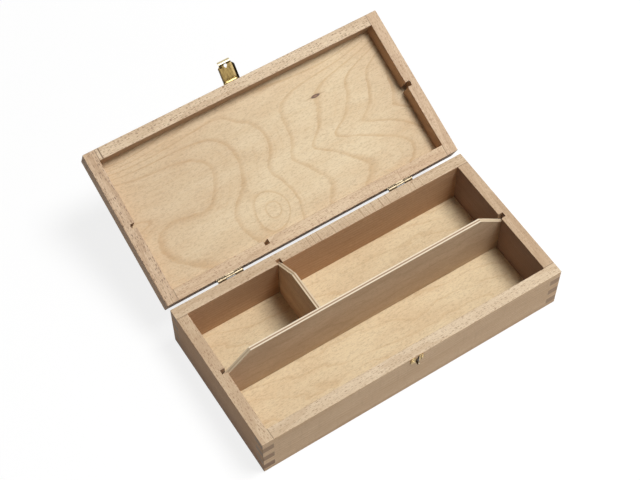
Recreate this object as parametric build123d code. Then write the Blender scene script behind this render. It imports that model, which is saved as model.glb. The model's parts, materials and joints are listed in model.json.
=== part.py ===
from build123d import *

import os

# Hinged wooden brush box.  Millimetres, +Z up, +X along the length, the front faces -Y.
# The origin is the centre of the face that the base stands on.

# ---- Driving dimensions: whole box ----
box_length = 250.0
box_depth = 123.5
base_height = 42.0
lid_height = 16.5
rim_gap = 0.4  # between the two sawn rims when the lid is shut
lid_opening = 156.8  # degrees from shut, as the lid stands at rest

# ---- Walls and panels ----
wall = 9.0
base_panel_thickness = 3.0
lid_panel_thickness = 3.0
rebate_width = 4.5  # how far a panel is let into each wall
panel_play = 0.1  # around a panel, inside its rebate
corner_round = 0.6
edge_round = 0.7
rim_round = 0.35

# ---- Finger joints, measured down from each rim ----
finger = 6.25
base_front_finger = 6.25
lid_side_finger = 4.0
sawn_finger = 0.5  # what the saw left of one side finger at the front left rim

# ---- Grooves and dividers ----
groove_depth = 3.9
divider_thickness = 3.1
divider_side_play = 0.45  # on each side of a divider, in its groove
divider_end_play = 0.4  # between a divider's end and the bottom of its groove
divider_floor_play = 0.3
long_divider_headroom = 2.9  # under the lid's panel when the lid is shut
long_shoulder_drop = 4.8  # below the base rim, at the inner wall
long_shoulder_run = 19.3
short_divider_headroom = 3.2
short_shoulder_drop = 1.3
short_shoulder_run = 18.4
short_divider_from_left = 85.5  # outer left end to the divider's middle

# ---- Hinges on the back ----
hinge_length = 20.6
left_hinge_from_end = 50.2
right_hinge_from_end = 53.6
hinge_pin_diameter = 1.0
hinge_knuckle_wall = 0.65
hinge_pin_head = 0.3  # how far a pin stands out at each end
hinge_barrel_stand = 0.5  # from the back face to the barrel
hinge_leaf_thickness = 0.8
hinge_leaf_width = 9.0  # from the axis to the free edge
hinge_leaf_corner = 1.2
hinge_screw_spread = 12.0
hinge_screw_margin = 3.4  # from a leaf's free edge

# ---- Screws and nails ----
screw_head_diameter = 3.2
screw_shank_diameter = 1.6
screw_length = 7.0
screw_point = 1.6
screw_slot_width = 0.5
screw_slot_depth = 0.35
nail_head_diameter = 2.2
nail_head_height = 0.5
nail_shank_diameter = 1.0
nail_length = 6.5
nail_point = 1.2

# ---- Hasp on the lid front ----
hasp_from_left = 124.9
hasp_axis_rise = 4.3  # above the lid's rim
hasp_barrel_length = 9.6
hasp_barrel_wall = 0.75
hasp_pin_diameter = 1.1
hasp_pin_head = 0.35
hasp_plate_width = 11.0
hasp_plate_height = 9.0  # from the pin upwards
hasp_plate_thickness = 0.7
hasp_curl_overlap = 0.5  # how deep the curled barrel runs into the plate
hasp_nail_spread = 6.0
hasp_nail_rise = 6.0  # from the pin
flap_width = 12.9
flap_length = 13.6  # from the pin to the tip
flap_thickness = 0.6
flap_root_clearance = 0.35  # from the barrel to where the flat of the flap starts
flap_face_offset = 0.3  # from the pin's middle to the flat's inner face
flap_channel_height = 2.1
flap_flange_stop = 2.0  # the flanges end this far above the tip
flap_corner = 1.9
flap_lip_width = 9.8
flap_lip_radius = 2.4
flap_hole_diameter = 2.8
flap_hole_notch = 2.1  # from the hole's middle to its pointed side
flap_hole_drop = 12.2  # from the pin
flap_dimple_width = 1.6
flap_dimple_length = 3.0
flap_dimple_depth = 0.25
flap_dimple_from_middle = 4.1
flap_swing = 62.0  # degrees out from hanging, as it stands at rest

# ---- Keeper on the base front ----
keeper_drop = 0.7  # below the base rim
keeper_thickness = 0.7
keeper_waist = 4.2  # width of the middle tongue between the two lobes
keeper_lobe_overlap = 1.0  # how far a lobe runs behind the tongue
keeper_tongue_drop = 1.0  # the tongue ends this far below the lobes and the knob's middle
keeper_stem_diameter = 1.4
keeper_knob_length = 1.3
keeper_knob_proud = 0.4  # how far the knob stands out of the shut flap
keeper_nail_spread = 7.6

# ---- Clearances ----
knob_play = 0.4  # radial, between the knob and the hole in the flap
keeper_side_play = 0.35  # between the keeper and each flange of the shut flap
pin_hold = 0.02  # radial, where a pin is held
pin_run = 0.05  # radial, where a knuckle turns on a pin
body_gap = 0.3  # between pieces that move past each other
fastener_fit = 0.02  # radial, around screws and nails

# ---- Sizes worked out from the sizes above ----
groove_width = divider_thickness + 2 * divider_side_play
lid_inner_height = lid_height - lid_panel_thickness
long_divider_rise = rim_gap + lid_inner_height - long_divider_headroom  # above the base rim
short_divider_rise = rim_gap + lid_inner_height - short_divider_headroom
hinge_barrel_diameter = hinge_pin_diameter + 2 * hinge_knuckle_wall
hinge_axis_offset = hinge_barrel_diameter / 2 + hinge_barrel_stand  # outside the back face
hinge_screw_drop = hinge_leaf_width - hinge_screw_margin  # from the axis
hasp_barrel_diameter = hasp_pin_diameter + 2 * hasp_barrel_wall
hasp_axis_offset = hasp_plate_thickness + hasp_barrel_diameter / 2 - hasp_curl_overlap
flap_root = hasp_barrel_diameter / 2 + flap_root_clearance  # from the pin
keeper_width = flap_width - 2 * flap_thickness - 2 * keeper_side_play
keeper_knob_diameter = flap_hole_diameter - 2 * knob_play
keeper_reach = hasp_axis_offset + flap_face_offset + flap_thickness + keeper_knob_proud

# ---- Places worked out from the sizes above ----
left, right = -box_length / 2, box_length / 2
front, back = -box_depth / 2, box_depth / 2
hinge_z = base_height + rim_gap / 2
hinge_y = back + hinge_axis_offset
lid_rim = base_height + rim_gap
lid_top = lid_rim + lid_height
hasp_x = left + hasp_from_left
hasp_y = front - hasp_axis_offset
hasp_z = lid_rim + hasp_axis_rise
knob_z = hasp_z - flap_hole_drop
keeper_top = base_height - keeper_drop
short_divider_x = left + short_divider_from_left
hinge_places = {
    "left": left + left_hinge_from_end,
    "right": right - right_hinge_from_end,
}


# ---- Helpers ----
def block(x, y, z):
    """A box between the (low, high) limits on each axis."""
    size = [high - low for low, high in (x, y, z)]
    middle = [(high + low) / 2 for low, high in (x, y, z)]
    return Pos(*middle) * Box(*size)


def rod(diameter, length, place):
    """A cylinder along X, centred at place."""
    return Pos(*place) * Rot(0, 90, 0) * Cylinder(diameter / 2, length)


def post(diameter, height):
    """A cylinder standing on the origin."""
    return Pos(0, 0, height / 2) * Cylinder(diameter / 2, height)


def turned(points):
    """A solid turned about Z from a profile of (radius, height) points."""
    profile = Polyline(*[(radius, 0, height) for radius, height in points], close=True)
    return revolve(make_face(profile), Axis.Z)


def group(pieces):
    """Separate solids kept together in one node."""
    return Compound(children=list(pieces))


# ---- Trays: the base, and the lid before it is turned over ----
def side_bands(height, first_top):
    """Heights (low, high) at which the side walls reach a corner, rim at the top."""
    bands = []
    depth = first_top
    while depth < height:
        low = max(height - depth - finger, 0)
        high = min(height - depth, height)
        bands.append((low, high))
        depth += 2 * finger
    return bands


def tray_frame(height, panel_thickness):
    """The closed ring of walls, rounded as one, rim up, with rebate and grooves."""
    frame = block((left, right), (front, back), (0, height))
    frame = fillet(frame.edges().filter_by(Axis.Z), corner_round)
    frame = fillet(frame.faces().sort_by(Axis.Z)[0].edges(), edge_round)
    frame = fillet(frame.faces().sort_by(Axis.Z)[-1].edges(), rim_round)
    frame -= block((left + wall, right - wall), (front + wall, back - wall), (0, height))
    inner_rim = frame.faces().sort_by(Axis.Z)[-1].inner_wires()[0]
    frame = fillet(inner_rim.edges(), rim_round)
    frame -= panel_space(panel_thickness, 0)
    return frame - grooves(panel_thickness, height)


def panel_space(thickness, play):
    """The room a panel takes, less the play on each edge."""
    inset = wall - rebate_width + play
    return block((left + inset, right - inset), (front + inset, back - inset), (0, thickness))


def grooves(low, high):
    """The three upright grooves for the dividers."""
    half = groove_width / 2
    deep = wall - groove_depth
    ends = block((left + deep, right - deep), (-half, half), (low, high))
    x_limits = (short_divider_x - half, short_divider_x + half)
    return ends + block(x_limits, (0, back - deep), (low, high))


def corner_fingers(x, y, bands):
    """The side wall's fingers in one corner, as a list of blocks."""
    return [block(x, y, band) for band in bands]


def tray(height, panel_thickness, bands, front_left_bands):
    """The four walls and the panel of one tray, rim up, panel at the bottom."""
    frame = tray_frame(height, panel_thickness)
    ends = {"left": (left, left + wall), "right": (right - wall, right)}
    depths = {"front": (front, front + wall), "back": (back - wall, back)}
    pieces = {}
    all_fingers = []
    for end, x_limits in ends.items():
        side = block(x_limits, (front + wall, back - wall), (0, height))
        for face, y_limits in depths.items():
            own_bands = front_left_bands if (end, face) == ("left", "front") else bands
            fingers = corner_fingers(x_limits, y_limits, own_bands)
            side = side + fingers
            all_fingers += fingers
        pieces[end] = frame & side
    for face, y_limits in depths.items():
        pieces[face] = frame & (block((left, right), y_limits, (0, height)) - all_fingers)
    pieces["panel"] = panel_space(panel_thickness, panel_play)
    return pieces


def base_tray():
    """The base's walls and bottom panel."""
    bands = side_bands(base_height, base_front_finger)
    sawn = [(base_height - sawn_finger, base_height)]
    return tray(base_height, base_panel_thickness, bands, bands + sawn)


def lid_tray():
    """The lid's rails and panel, shut on the base."""
    bands = side_bands(lid_height, lid_side_finger - finger)
    pieces = tray(lid_height, lid_panel_thickness, bands, bands)
    return {name: Pos(0, 0, lid_top) * mirror(piece, about=Plane.XY) for name, piece in pieces.items()}


# ---- Dividers ----
def long_divider():
    """The divider along the middle, with a sloping shoulder at each end."""
    low = base_panel_thickness + divider_floor_play
    top = base_height + long_divider_rise
    inner = right - wall
    end = inner + groove_depth - divider_end_play
    slope = (long_divider_rise + long_shoulder_drop) / long_shoulder_run
    end_height = base_height - long_shoulder_drop - slope * (end - inner)
    half = [(end, low), (end, end_height), (inner - long_shoulder_run, top)]
    outline = half + [(-x, z) for x, z in reversed(half)]
    face = make_face(Polyline(*[(x, 0, z) for x, z in outline], close=True))
    return extrude(face, amount=divider_thickness / 2, both=True)


def short_divider():
    """The cross divider, from the long divider's back to the back wall."""
    low = base_panel_thickness + divider_floor_play
    top = base_height + short_divider_rise
    inner = back - wall
    end = inner + groove_depth - divider_end_play
    slope = (short_divider_rise + short_shoulder_drop) / short_shoulder_run
    end_height = base_height - short_shoulder_drop - slope * (end - inner)
    near = divider_thickness / 2
    outline = [(near, low), (end, low), (end, end_height), (inner - short_shoulder_run, top), (near, top)]
    face = make_face(Polyline(*[(short_divider_x, y, z) for y, z in outline], close=True))
    return extrude(face, amount=divider_thickness / 2, both=True)


# ---- Fasteners ----
def screw(play=0.0):
    """A countersunk wood screw pointing down, its head's top at the origin."""
    head = screw_head_diameter / 2 + play
    shank = screw_shank_diameter / 2 + play
    neck = -hinge_leaf_thickness
    shoulder = screw_point - screw_length
    body = turned([(0, 0), (head, 0), (shank, neck), (shank, shoulder), (0, -screw_length - play)])
    if play:
        return body
    half_slot = screw_slot_width / 2
    return body - block((-head, head), (-half_slot, half_slot), (-screw_slot_depth, 0))


def nail(play=0.0):
    """A round-headed nail pointing down, its head resting at the origin."""
    shank = nail_shank_diameter / 2 + play
    shoulder = nail_point - nail_length
    body = turned([(0, 0), (shank, 0), (shank, shoulder), (0, -nail_length - play)])
    if play:
        return body
    head = post(nail_head_diameter, nail_head_height)
    return body + fillet(head.edges().sort_by(Axis.Z)[-1], nail_head_height * 0.8)


def on_back(piece, x, z):
    """Stand a fastener on a hinge leaf at the back, pointing into the wood."""
    return Pos(x, back + hinge_leaf_thickness, z) * Rot(-90, 0, 0) * piece


def on_front(piece, x, z, thickness):
    """Stand a fastener on a plate at the front, pointing into the wood."""
    return Pos(x, front - thickness, z) * Rot(90, 0, 0) * piece


def hinge_fasteners(z, piece):
    """One fastener in each of the four holes of the two leaves at height z."""
    half = hinge_screw_spread / 2
    places = [x + step for x in hinge_places.values() for step in (-half, half)]
    return [on_back(piece, x, z) for x in places]


# ---- Hinges ----
def hinge_leaf(x, direction, knuckles, bore_play):
    """One leaf: a plate on the back face and the knuckles that it wraps round the pin."""
    half = hinge_length / 2
    near, far = hinge_z + direction * rim_gap / 2, hinge_z + direction * hinge_leaf_width
    z_limits = (min(near, far), max(near, far))
    plate = block((x - half, x + half), (back, back + hinge_leaf_thickness), z_limits)
    free_edges = plate.edges().filter_by(Axis.Y).sort_by(Axis.Z)
    corners = free_edges[-2:] if direction > 0 else free_edges[:2]
    plate = fillet(corners, hinge_leaf_corner)
    knuckle_length = (hinge_length - 2 * body_gap) / 3
    step = knuckle_length + body_gap
    clear = hinge_barrel_diameter / 2 + body_gap
    for place in (-1, 0, 1):
        middle = x + place * step
        if place in knuckles:
            plate += rod(hinge_barrel_diameter, knuckle_length, (middle, hinge_y, hinge_z))
        else:
            reach = knuckle_length / 2 + body_gap
            z_cut = (hinge_z - clear, hinge_z + clear)
            plate -= block((middle - reach, middle + reach), (back, hinge_y), z_cut)
    bore = hinge_pin_diameter + 2 * bore_play
    return plate - rod(bore, hinge_length + 1, (x, hinge_y, hinge_z))


def hinge_pin(x):
    """The hinge pin, with softly rounded ends."""
    pin = rod(hinge_pin_diameter, hinge_length + 2 * hinge_pin_head, (x, hinge_y, hinge_z))
    return fillet(pin.edges().filter_by(GeomType.CIRCLE), hinge_pin_head * 0.8)


# ---- Hasp ----
def hasp_plate():
    """The plate on the lid's front, its lower edge curled into a barrel for the pin."""
    half = hasp_plate_width / 2
    z_limits = (hasp_z, hasp_z + hasp_plate_height)
    plate = block((hasp_x - half, hasp_x + half), (front - hasp_plate_thickness, front), z_limits)
    top_corners = plate.edges().filter_by(Axis.Y).sort_by(Axis.Z)[-2:]
    plate = chamfer(top_corners, flap_corner)
    side = (hasp_plate_width - hasp_barrel_length) / 2
    reach = hasp_barrel_diameter / 2 + body_gap
    for x in (hasp_x - half, hasp_x + half - side):
        plate -= block((x, x + side), (hasp_y, front), (hasp_z, hasp_z + reach))
    plate += rod(hasp_barrel_diameter, hasp_barrel_length, (hasp_x, hasp_y, hasp_z))
    return plate - rod(hasp_pin_diameter + 2 * pin_run, flap_width, (hasp_x, hasp_y, hasp_z))


def hasp_pin():
    """The hasp's pin, held in the flap's two ears."""
    pin = rod(hasp_pin_diameter, flap_width + 2 * hasp_pin_head, (hasp_x, hasp_y, hasp_z))
    return fillet(pin.edges().filter_by(GeomType.CIRCLE), hasp_pin_head * 0.8)


def flap_flat():
    """The flat of the flap, pin at the origin, hanging down, with its dimples."""
    half = flap_width / 2
    outer = -flap_face_offset - flap_thickness
    flat = block((-half, half), (outer, -flap_face_offset), (-flap_length, -flap_root))
    tip_corners = flat.edges().filter_by(Axis.Y).sort_by(Axis.Z)[:2]
    flat = chamfer(tip_corners, flap_corner)
    floor = -flap_face_offset - flap_dimple_depth
    z_limits = (-flap_hole_drop - flap_dimple_length / 2, -flap_hole_drop + flap_dimple_length / 2)
    for middle in (-flap_dimple_from_middle, flap_dimple_from_middle):
        x_limits = (middle - flap_dimple_width / 2, middle + flap_dimple_width / 2)
        flat -= block(x_limits, (floor, 0), z_limits)
    return flat


def flap_ears():
    """The two side flanges of the flap, rounded about the pin."""
    outer = -flap_face_offset - flap_thickness
    inner = outer + flap_channel_height
    radius = flap_channel_height / 2
    middle = (outer + inner) / 2
    ears = []
    for side in (-1, 1):
        edge = side * flap_width / 2
        x_limits = tuple(sorted((edge, edge - side * flap_thickness)))
        ear = block(x_limits, (outer, inner), (flap_flange_stop - flap_length, 0))
        ear = fillet(ear.edges().filter_by(Axis.X).sort_by(Axis.Z)[:2].sort_by(Axis.Y)[-1], radius)
        ears.append(ear + rod(2 * radius, flap_thickness, (sum(x_limits) / 2, middle, 0)))
    return ears


def flap_lip():
    """The rolled finger lip past the tip, a quarter turn outwards."""
    centre_y = -flap_face_offset - flap_lip_radius
    place = (0, centre_y, -flap_length)
    ring = rod(2 * flap_lip_radius, flap_lip_width, place)
    ring -= rod(2 * (flap_lip_radius - flap_thickness), flap_lip_width, place)
    half = flap_lip_width / 2
    quarter = block((-half, half), (centre_y, 0), (-flap_length - flap_lip_radius, -flap_length))
    return ring & quarter


def flap_hole():
    """The pear-shaped hole that drops over the keeper's knob."""
    radius = flap_hole_diameter / 2
    hole = Pos(0, 0, -flap_hole_drop) * Rot(90, 0, 0) * Cylinder(radius, 4 * flap_channel_height)
    shoulder = radius * 0.7
    outline = [(-shoulder, shoulder), (shoulder, shoulder), (0, flap_hole_notch)]
    points = [(x, 0, z - flap_hole_drop) for x, z in outline]
    face = make_face(Polyline(*points, close=True))
    return hole + extrude(face, amount=2 * flap_channel_height, both=True)


def hasp_flap():
    """The flap, hanging straight down from its pin in the shut lid."""
    flap = flap_flat() + flap_ears() + flap_lip() - flap_hole()
    flap -= rod(hasp_pin_diameter + 2 * pin_hold, 2 * flap_width, (0, 0, 0))
    return Pos(hasp_x, hasp_y, hasp_z) * flap


def hasp_nails(piece):
    """A fastener at each nail place of the hasp plate."""
    half = hasp_nail_spread / 2
    z = hasp_z + hasp_nail_rise
    return [on_front(piece, hasp_x + x, z, hasp_plate_thickness) for x in (-half, half)]


# ---- Keeper ----
def keeper_plate():
    """Two round lobes joined by a tongue, with the knob that the flap drops over."""
    middle = (keeper_top + knob_z) / 2
    lobe_width = (keeper_width - keeper_waist) / 2 + keeper_lobe_overlap
    y_limits = (front - keeper_thickness, front)
    half = keeper_waist / 2
    plate = block((hasp_x - half, hasp_x + half), y_limits, (knob_z - keeper_tongue_drop, middle))
    plate = fillet(plate.edges().filter_by(Axis.Y).sort_by(Axis.Z)[:2], keeper_tongue_drop * 0.8)
    for side in (-1, 1):
        edge = hasp_x + side * keeper_width / 2
        x_limits = tuple(sorted((edge, edge - side * lobe_width)))
        lobe = block(x_limits, y_limits, (knob_z, keeper_top))
        plate += fillet(lobe.edges().filter_by(Axis.Y), lobe_width * 0.45)
    stem_length = keeper_reach - keeper_knob_length
    stem = post(keeper_stem_diameter, stem_length)
    knob = post(keeper_knob_diameter, keeper_knob_length)
    knob = fillet(knob.edges().filter_by(GeomType.CIRCLE), keeper_knob_length * 0.4)
    stud = stem + Pos(0, 0, stem_length) * knob
    return plate + Pos(hasp_x, front, knob_z) * Rot(90, 0, 0) * stud


def keeper_nails(piece):
    """A fastener in each lobe of the keeper."""
    half = keeper_nail_spread / 2
    z = (keeper_top + knob_z) / 2
    return [on_front(piece, hasp_x + x, z, keeper_thickness) for x in (-half, half)]


# ---- Bodies ----
def base_pieces():
    """Everything that stays with the base."""
    walls = base_tray()
    screw_z = hinge_z - hinge_screw_drop
    screw_holes = hinge_fasteners(screw_z, screw(fastener_fit))
    nail_holes = keeper_nails(nail(fastener_fit))
    pieces = {
        "base_front_wall": walls["front"] - nail_holes,
        "base_back_wall": walls["back"] - screw_holes,
        "base_left_wall": walls["left"],
        "base_right_wall": walls["right"],
        "base_bottom_panel": walls["panel"],
        "hinge_base_screws": group(hinge_fasteners(screw_z, screw())),
        "keeper_plate": keeper_plate() - nail_holes,
        "keeper_nails": group(keeper_nails(nail())),
    }
    for name, x in hinge_places.items():
        pieces[f"{name}_hinge_base_leaf"] = hinge_leaf(x, -1, (-1, 1), pin_hold) - screw_holes
        pieces[f"{name}_hinge_pin"] = hinge_pin(x)
    return pieces


def lid_pieces():
    """Everything that turns with the lid, shut."""
    walls = lid_tray()
    screw_z = hinge_z + hinge_screw_drop
    screw_holes = hinge_fasteners(screw_z, screw(fastener_fit))
    nail_holes = hasp_nails(nail(fastener_fit))
    pieces = {
        "lid_front_rail": walls["front"] - nail_holes,
        "lid_back_rail": walls["back"] - screw_holes,
        "lid_left_rail": walls["left"],
        "lid_right_rail": walls["right"],
        "lid_panel": walls["panel"],
        "hinge_lid_screws": group(hinge_fasteners(screw_z, screw())),
        "hasp_plate": hasp_plate() - nail_holes,
        "hasp_nails": group(hasp_nails(nail())),
    }
    for name, x in hinge_places.items():
        pieces[f"{name}_hinge_lid_leaf"] = hinge_leaf(x, 1, (0,), pin_run) - screw_holes
    return pieces


def flap_pieces():
    """The hasp's flap and its pin, swung out from hanging."""
    axis = Axis((hasp_x, hasp_y, hasp_z), (-1, 0, 0))
    pieces = {"hasp_flap": hasp_flap(), "hasp_pin": hasp_pin()}
    return {name: piece.rotate(axis, flap_swing) for name, piece in pieces.items()}


def opened(pieces):
    """Turn the lid's pieces about the hinge axis to where the lid stands."""
    axis = Axis((0, hinge_y, hinge_z), (-1, 0, 0))
    return {name: piece.rotate(axis, lid_opening) for name, piece in pieces.items()}


def divider_pieces():
    """The lift-out divider insert."""
    return {"long_divider": long_divider(), "short_divider": short_divider()}


os.makedirs("parts", exist_ok=True)
box = base_pieces() | divider_pieces() | opened(lid_pieces() | flap_pieces())
for name, piece in box.items():
    export_step(piece, f"parts/{name}.step")
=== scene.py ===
"""Brush box with a hinged lid: beech walls, plywood panels and dividers, brass hinges and hasp."""

import json
import logging
import math
from dataclasses import dataclass
from enum import Enum
from typing import Any, Callable

import bmesh
import bpy
import numpy as np
from mathutils import Matrix, Vector


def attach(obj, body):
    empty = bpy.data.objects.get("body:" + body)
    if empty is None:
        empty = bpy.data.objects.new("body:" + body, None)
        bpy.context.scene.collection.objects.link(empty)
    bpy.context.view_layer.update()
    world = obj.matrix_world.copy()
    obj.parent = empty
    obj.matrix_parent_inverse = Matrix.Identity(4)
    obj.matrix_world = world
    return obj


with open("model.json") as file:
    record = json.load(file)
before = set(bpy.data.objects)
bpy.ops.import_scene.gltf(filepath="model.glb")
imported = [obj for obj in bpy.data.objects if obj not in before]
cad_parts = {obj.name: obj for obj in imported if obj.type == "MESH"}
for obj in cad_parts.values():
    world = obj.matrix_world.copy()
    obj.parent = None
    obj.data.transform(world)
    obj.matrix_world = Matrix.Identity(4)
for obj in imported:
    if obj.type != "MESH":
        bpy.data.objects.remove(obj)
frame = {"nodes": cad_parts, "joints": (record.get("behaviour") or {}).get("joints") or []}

log = logging.getLogger("brush box")

Socket = bpy.types.NodeSocket
Feed = Any  # a node socket to link from, or a plain number, triple or colour to set
Pair = tuple[float, float]
Triple = tuple[float, float, float]
Colour = tuple[float, float, float, float]

MM_PER_M = 1000.0
SQUARE: Pair = (0.62, 0.82)  # cosines at which a surface begins to count as facing a way, and fully does


def paint(red: int, green: int, blue: int) -> Colour:
    """A colour as it looks on a screen, made ready for a shader.

    Args:
        red: Red, 0 to 255.
        green: Green, 0 to 255.
        blue: Blue, 0 to 255.

    Returns:
        The colour as linear light, with an alpha of one.
    """
    def straight(level: int) -> float:
        """One channel without the screen's curve."""
        share = level / 255.0
        return share / 12.92 if share <= 0.04045 else ((share + 0.055) / 1.055) ** 2.4

    return (straight(red), straight(green), straight(blue), 1.0)


def joint_called(name: str) -> dict[str, Any]:
    """The frame's row for a joint."""
    return next(joint for joint in frame["joints"] if joint["name"] == name)


@dataclass(frozen=True)
class Pattern:
    """A soft random pattern of values from nought to one.

    Attributes:
        pace: How many bumps there are in a millimetre, along each axis.
        detail: How many finer layers are added.
        roughness: How strong the finer layers are.
        limits: The values at which a mask that is cut from it is nought and one.
    """

    pace: Triple
    detail: float = 2.0
    roughness: float = 0.5
    limits: Pair = (0.0, 1.0)


class Graph:
    """A node tree, with short calls for the nodes that the finishes are made of."""

    def __init__(self, tree: bpy.types.NodeTree) -> None:
        """Keeps the tree of a material, a world or a group, which nodes are added to."""
        self.tree = tree

    def node(self, kind: str, feeds: dict[Any, Feed] | None = None, **settings: Any) -> bpy.types.Node:
        """Adds a node.

        Args:
            kind: The node's type.
            feeds: What each input gets, by the input's name or number.
            settings: The node's own properties.

        Returns:
            The new node.
        """
        made = self.tree.nodes.new(kind)
        for name, value in settings.items():
            setattr(made, name, value)
        for key, feed in (feeds or {}).items():
            self.feed(made.inputs[key], feed)
        return made

    def feed(self, socket: Socket, feed: Feed) -> None:
        """Links a socket, or sets its value.

        Args:
            socket: The input that is fed.
            feed: A socket to link from, or a value.
        """
        if isinstance(feed, Socket):
            self.tree.links.new(feed, socket)
        else:
            socket.default_value = feed

    def maths(self, operation: str, *values: Feed, clamp: bool = False) -> Socket:
        """One step of arithmetic, whose result is held between nought and one if clamp says so."""
        feeds = dict(enumerate(values))
        return self.node("ShaderNodeMath", feeds, operation=operation, use_clamp=clamp).outputs[0]

    def plus(self, first: Feed, second: Feed) -> Socket:
        """The sum of two numbers."""
        return self.maths("ADD", first, second)

    def minus(self, first: Feed, second: Feed) -> Socket:
        """The first number less the second."""
        return self.maths("SUBTRACT", first, second)

    def times(self, first: Feed, second: Feed) -> Socket:
        """The product of two numbers, or where two masks overlap."""
        return self.maths("MULTIPLY", first, second)

    def most(self, first: Feed, second: Feed) -> Socket:
        """The larger of two numbers, or where at least one of two masks lies."""
        return self.maths("MAXIMUM", first, second)

    def off(self, value: Feed, middle: Feed) -> Socket:
        """How far a number is from a middle, on either side."""
        return self.maths("ABSOLUTE", self.minus(value, middle))

    def total(self, start: Feed, *terms: tuple[Feed, float]) -> Socket:
        """Adds values to a number, each with a weight of its own.

        Args:
            start: The number that the values are added to.
            terms: Pairs of a value and its weight.

        Returns:
            The sum.
        """
        for value, weight in terms:
            start = self.maths("MULTIPLY_ADD", value, weight, start)
        return start

    def span(self, value: Feed, low: Feed, high: Feed, start: Feed = 0.0, end: Feed = 1.0) -> Socket:
        """Runs smoothly from start, where the value is low, to end, where it is high, and holds there."""
        feeds = {"Value": value, "From Min": low, "From Max": high, "To Min": start, "To Max": end}
        return self.node("ShaderNodeMapRange", feeds, interpolation_type="SMOOTHSTEP").outputs["Result"]

    def vector(self, operation: str, first: Feed, second: Feed = (0.0, 0.0, 0.0)) -> Socket:
        """One step of vector arithmetic, which gives a number for a dot product or a length."""
        made = self.node("ShaderNodeVectorMath", {0: first, 1: second}, operation=operation)
        return made.outputs["Value" if operation in ("DOT_PRODUCT", "LENGTH") else "Vector"]

    def dot(self, first: Feed, second: Feed) -> Socket:
        """The dot product of two vectors."""
        return self.vector("DOT_PRODUCT", first, second)

    def stretch(self, place: Feed, factors: Feed) -> Socket:
        """Coordinates multiplied along each axis."""
        return self.vector("MULTIPLY", place, factors)

    def axis(self, place: Feed, name: str) -> Socket:
        """One of three coordinates: X, Y or Z."""
        return self.node("ShaderNodeSeparateXYZ", {0: place}).outputs[name]

    def surface(self, what: str) -> Socket:
        """Where the surface is in the frame (Object, in metres), or the way it faces there (Normal)."""
        return self.node("ShaderNodeTexCoord").outputs[what]

    def millimetres(self) -> Socket:
        """Where the surface is in the frame, in millimetres."""
        return self.stretch(self.surface("Object"), (MM_PER_M,) * 3)

    def facing(self, way: Feed, limits: Pair = SQUARE) -> Socket:
        """A mask of what faces one way: nought at the first limit, a cosine, and one at the second."""
        return self.span(self.dot(self.surface("Normal"), way), *limits)

    def noise(self, place: Feed, pattern: Pattern) -> Socket:
        """A soft random pattern.

        Args:
            place: Coordinates in millimetres.
            pattern: What the pattern is like.

        Returns:
            Its value, from nought to one.
        """
        feeds = {"Vector": self.stretch(place, pattern.pace), "Scale": 1.0}
        feeds |= {"Detail": pattern.detail, "Roughness": pattern.roughness}
        return self.node("ShaderNodeTexNoise", feeds).outputs["Fac"]

    def mask(self, place: Feed, pattern: Pattern) -> Socket:
        """A soft random mask, cut from a pattern at its limits."""
        return self.span(self.noise(place, pattern), *pattern.limits)

    def cells(self, place: Feed, pace: Triple) -> bpy.types.Node:
        """Scattered cells, so many in a millimetre along each axis, for marks that stand apart."""
        return self.node("ShaderNodeTexVoronoi", {"Vector": self.stretch(place, pace), "Scale": 1.0})

    def marks(self, place: Feed, pace: Triple, lot: str, faint: float, sizes: Pair, core: float) -> Socket:
        """Scattered marks of many sizes.

        Args:
            place: Coordinates in millimetres.
            pace: How many marks there are in a millimetre, along each axis.
            lot: The channel of the cells' random colours that each mark's size is drawn from.
            faint: The share of the marks that keep the smallest size.
            sizes: The smallest and the largest half width, in steps from one cell to the next.
            core: The share of a mark's half width that is fully dark.

        Returns:
            The mask.
        """
        cells = self.cells(place, pace)
        drawn = self.node("ShaderNodeSeparateColor", {0: cells.outputs["Color"]}).outputs[lot]
        size = self.span(drawn, faint, 1.0, *sizes)
        return self.span(cells.outputs["Distance"], size, self.times(size, core))

    def mix(self, share: Feed, first: Feed, second: Feed, blend: str = "MIX") -> Socket:
        """Blends two colours.

        Args:
            share: How much of the second colour there is, from nought to one.
            first: The colour where share is nought.
            second: The colour where share is one.
            blend: MIX to replace the first colour, MULTIPLY to stain it.

        Returns:
            The blend.
        """
        made = self.node("ShaderNodeMix", data_type="RGBA", clamp_factor=True, blend_type=blend)
        for socket, feed in ((made.inputs[0], share), (made.inputs[6], first), (made.inputs[7], second)):
            self.feed(socket, feed)
        return made.outputs[2]

    def tint(self, colour: Feed, mask: Feed, share: Feed, other: Feed) -> Socket:
        """Lays a share of another colour over a colour, where the mask lies."""
        return self.mix(self.times(mask, share), colour, other)

    def stain(self, colour: Feed, mask: Feed, other: Feed) -> Socket:
        """Multiplies a colour by another one, where the mask lies."""
        return self.mix(mask, colour, other, "MULTIPLY")

    def bump(self, height: Feed, depth: float, strength: float) -> Socket:
        """A normal that follows a relief of a depth in metres, as strongly as strength says."""
        feeds = {"Height": height, "Distance": depth, "Strength": strength}
        return self.node("ShaderNodeBump", feeds).outputs["Normal"]


class Kind(Enum):
    """What an input of an effect carries."""

    VECTOR = "NodeSocketVector"
    NUMBER = "NodeSocketFloat"


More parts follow.
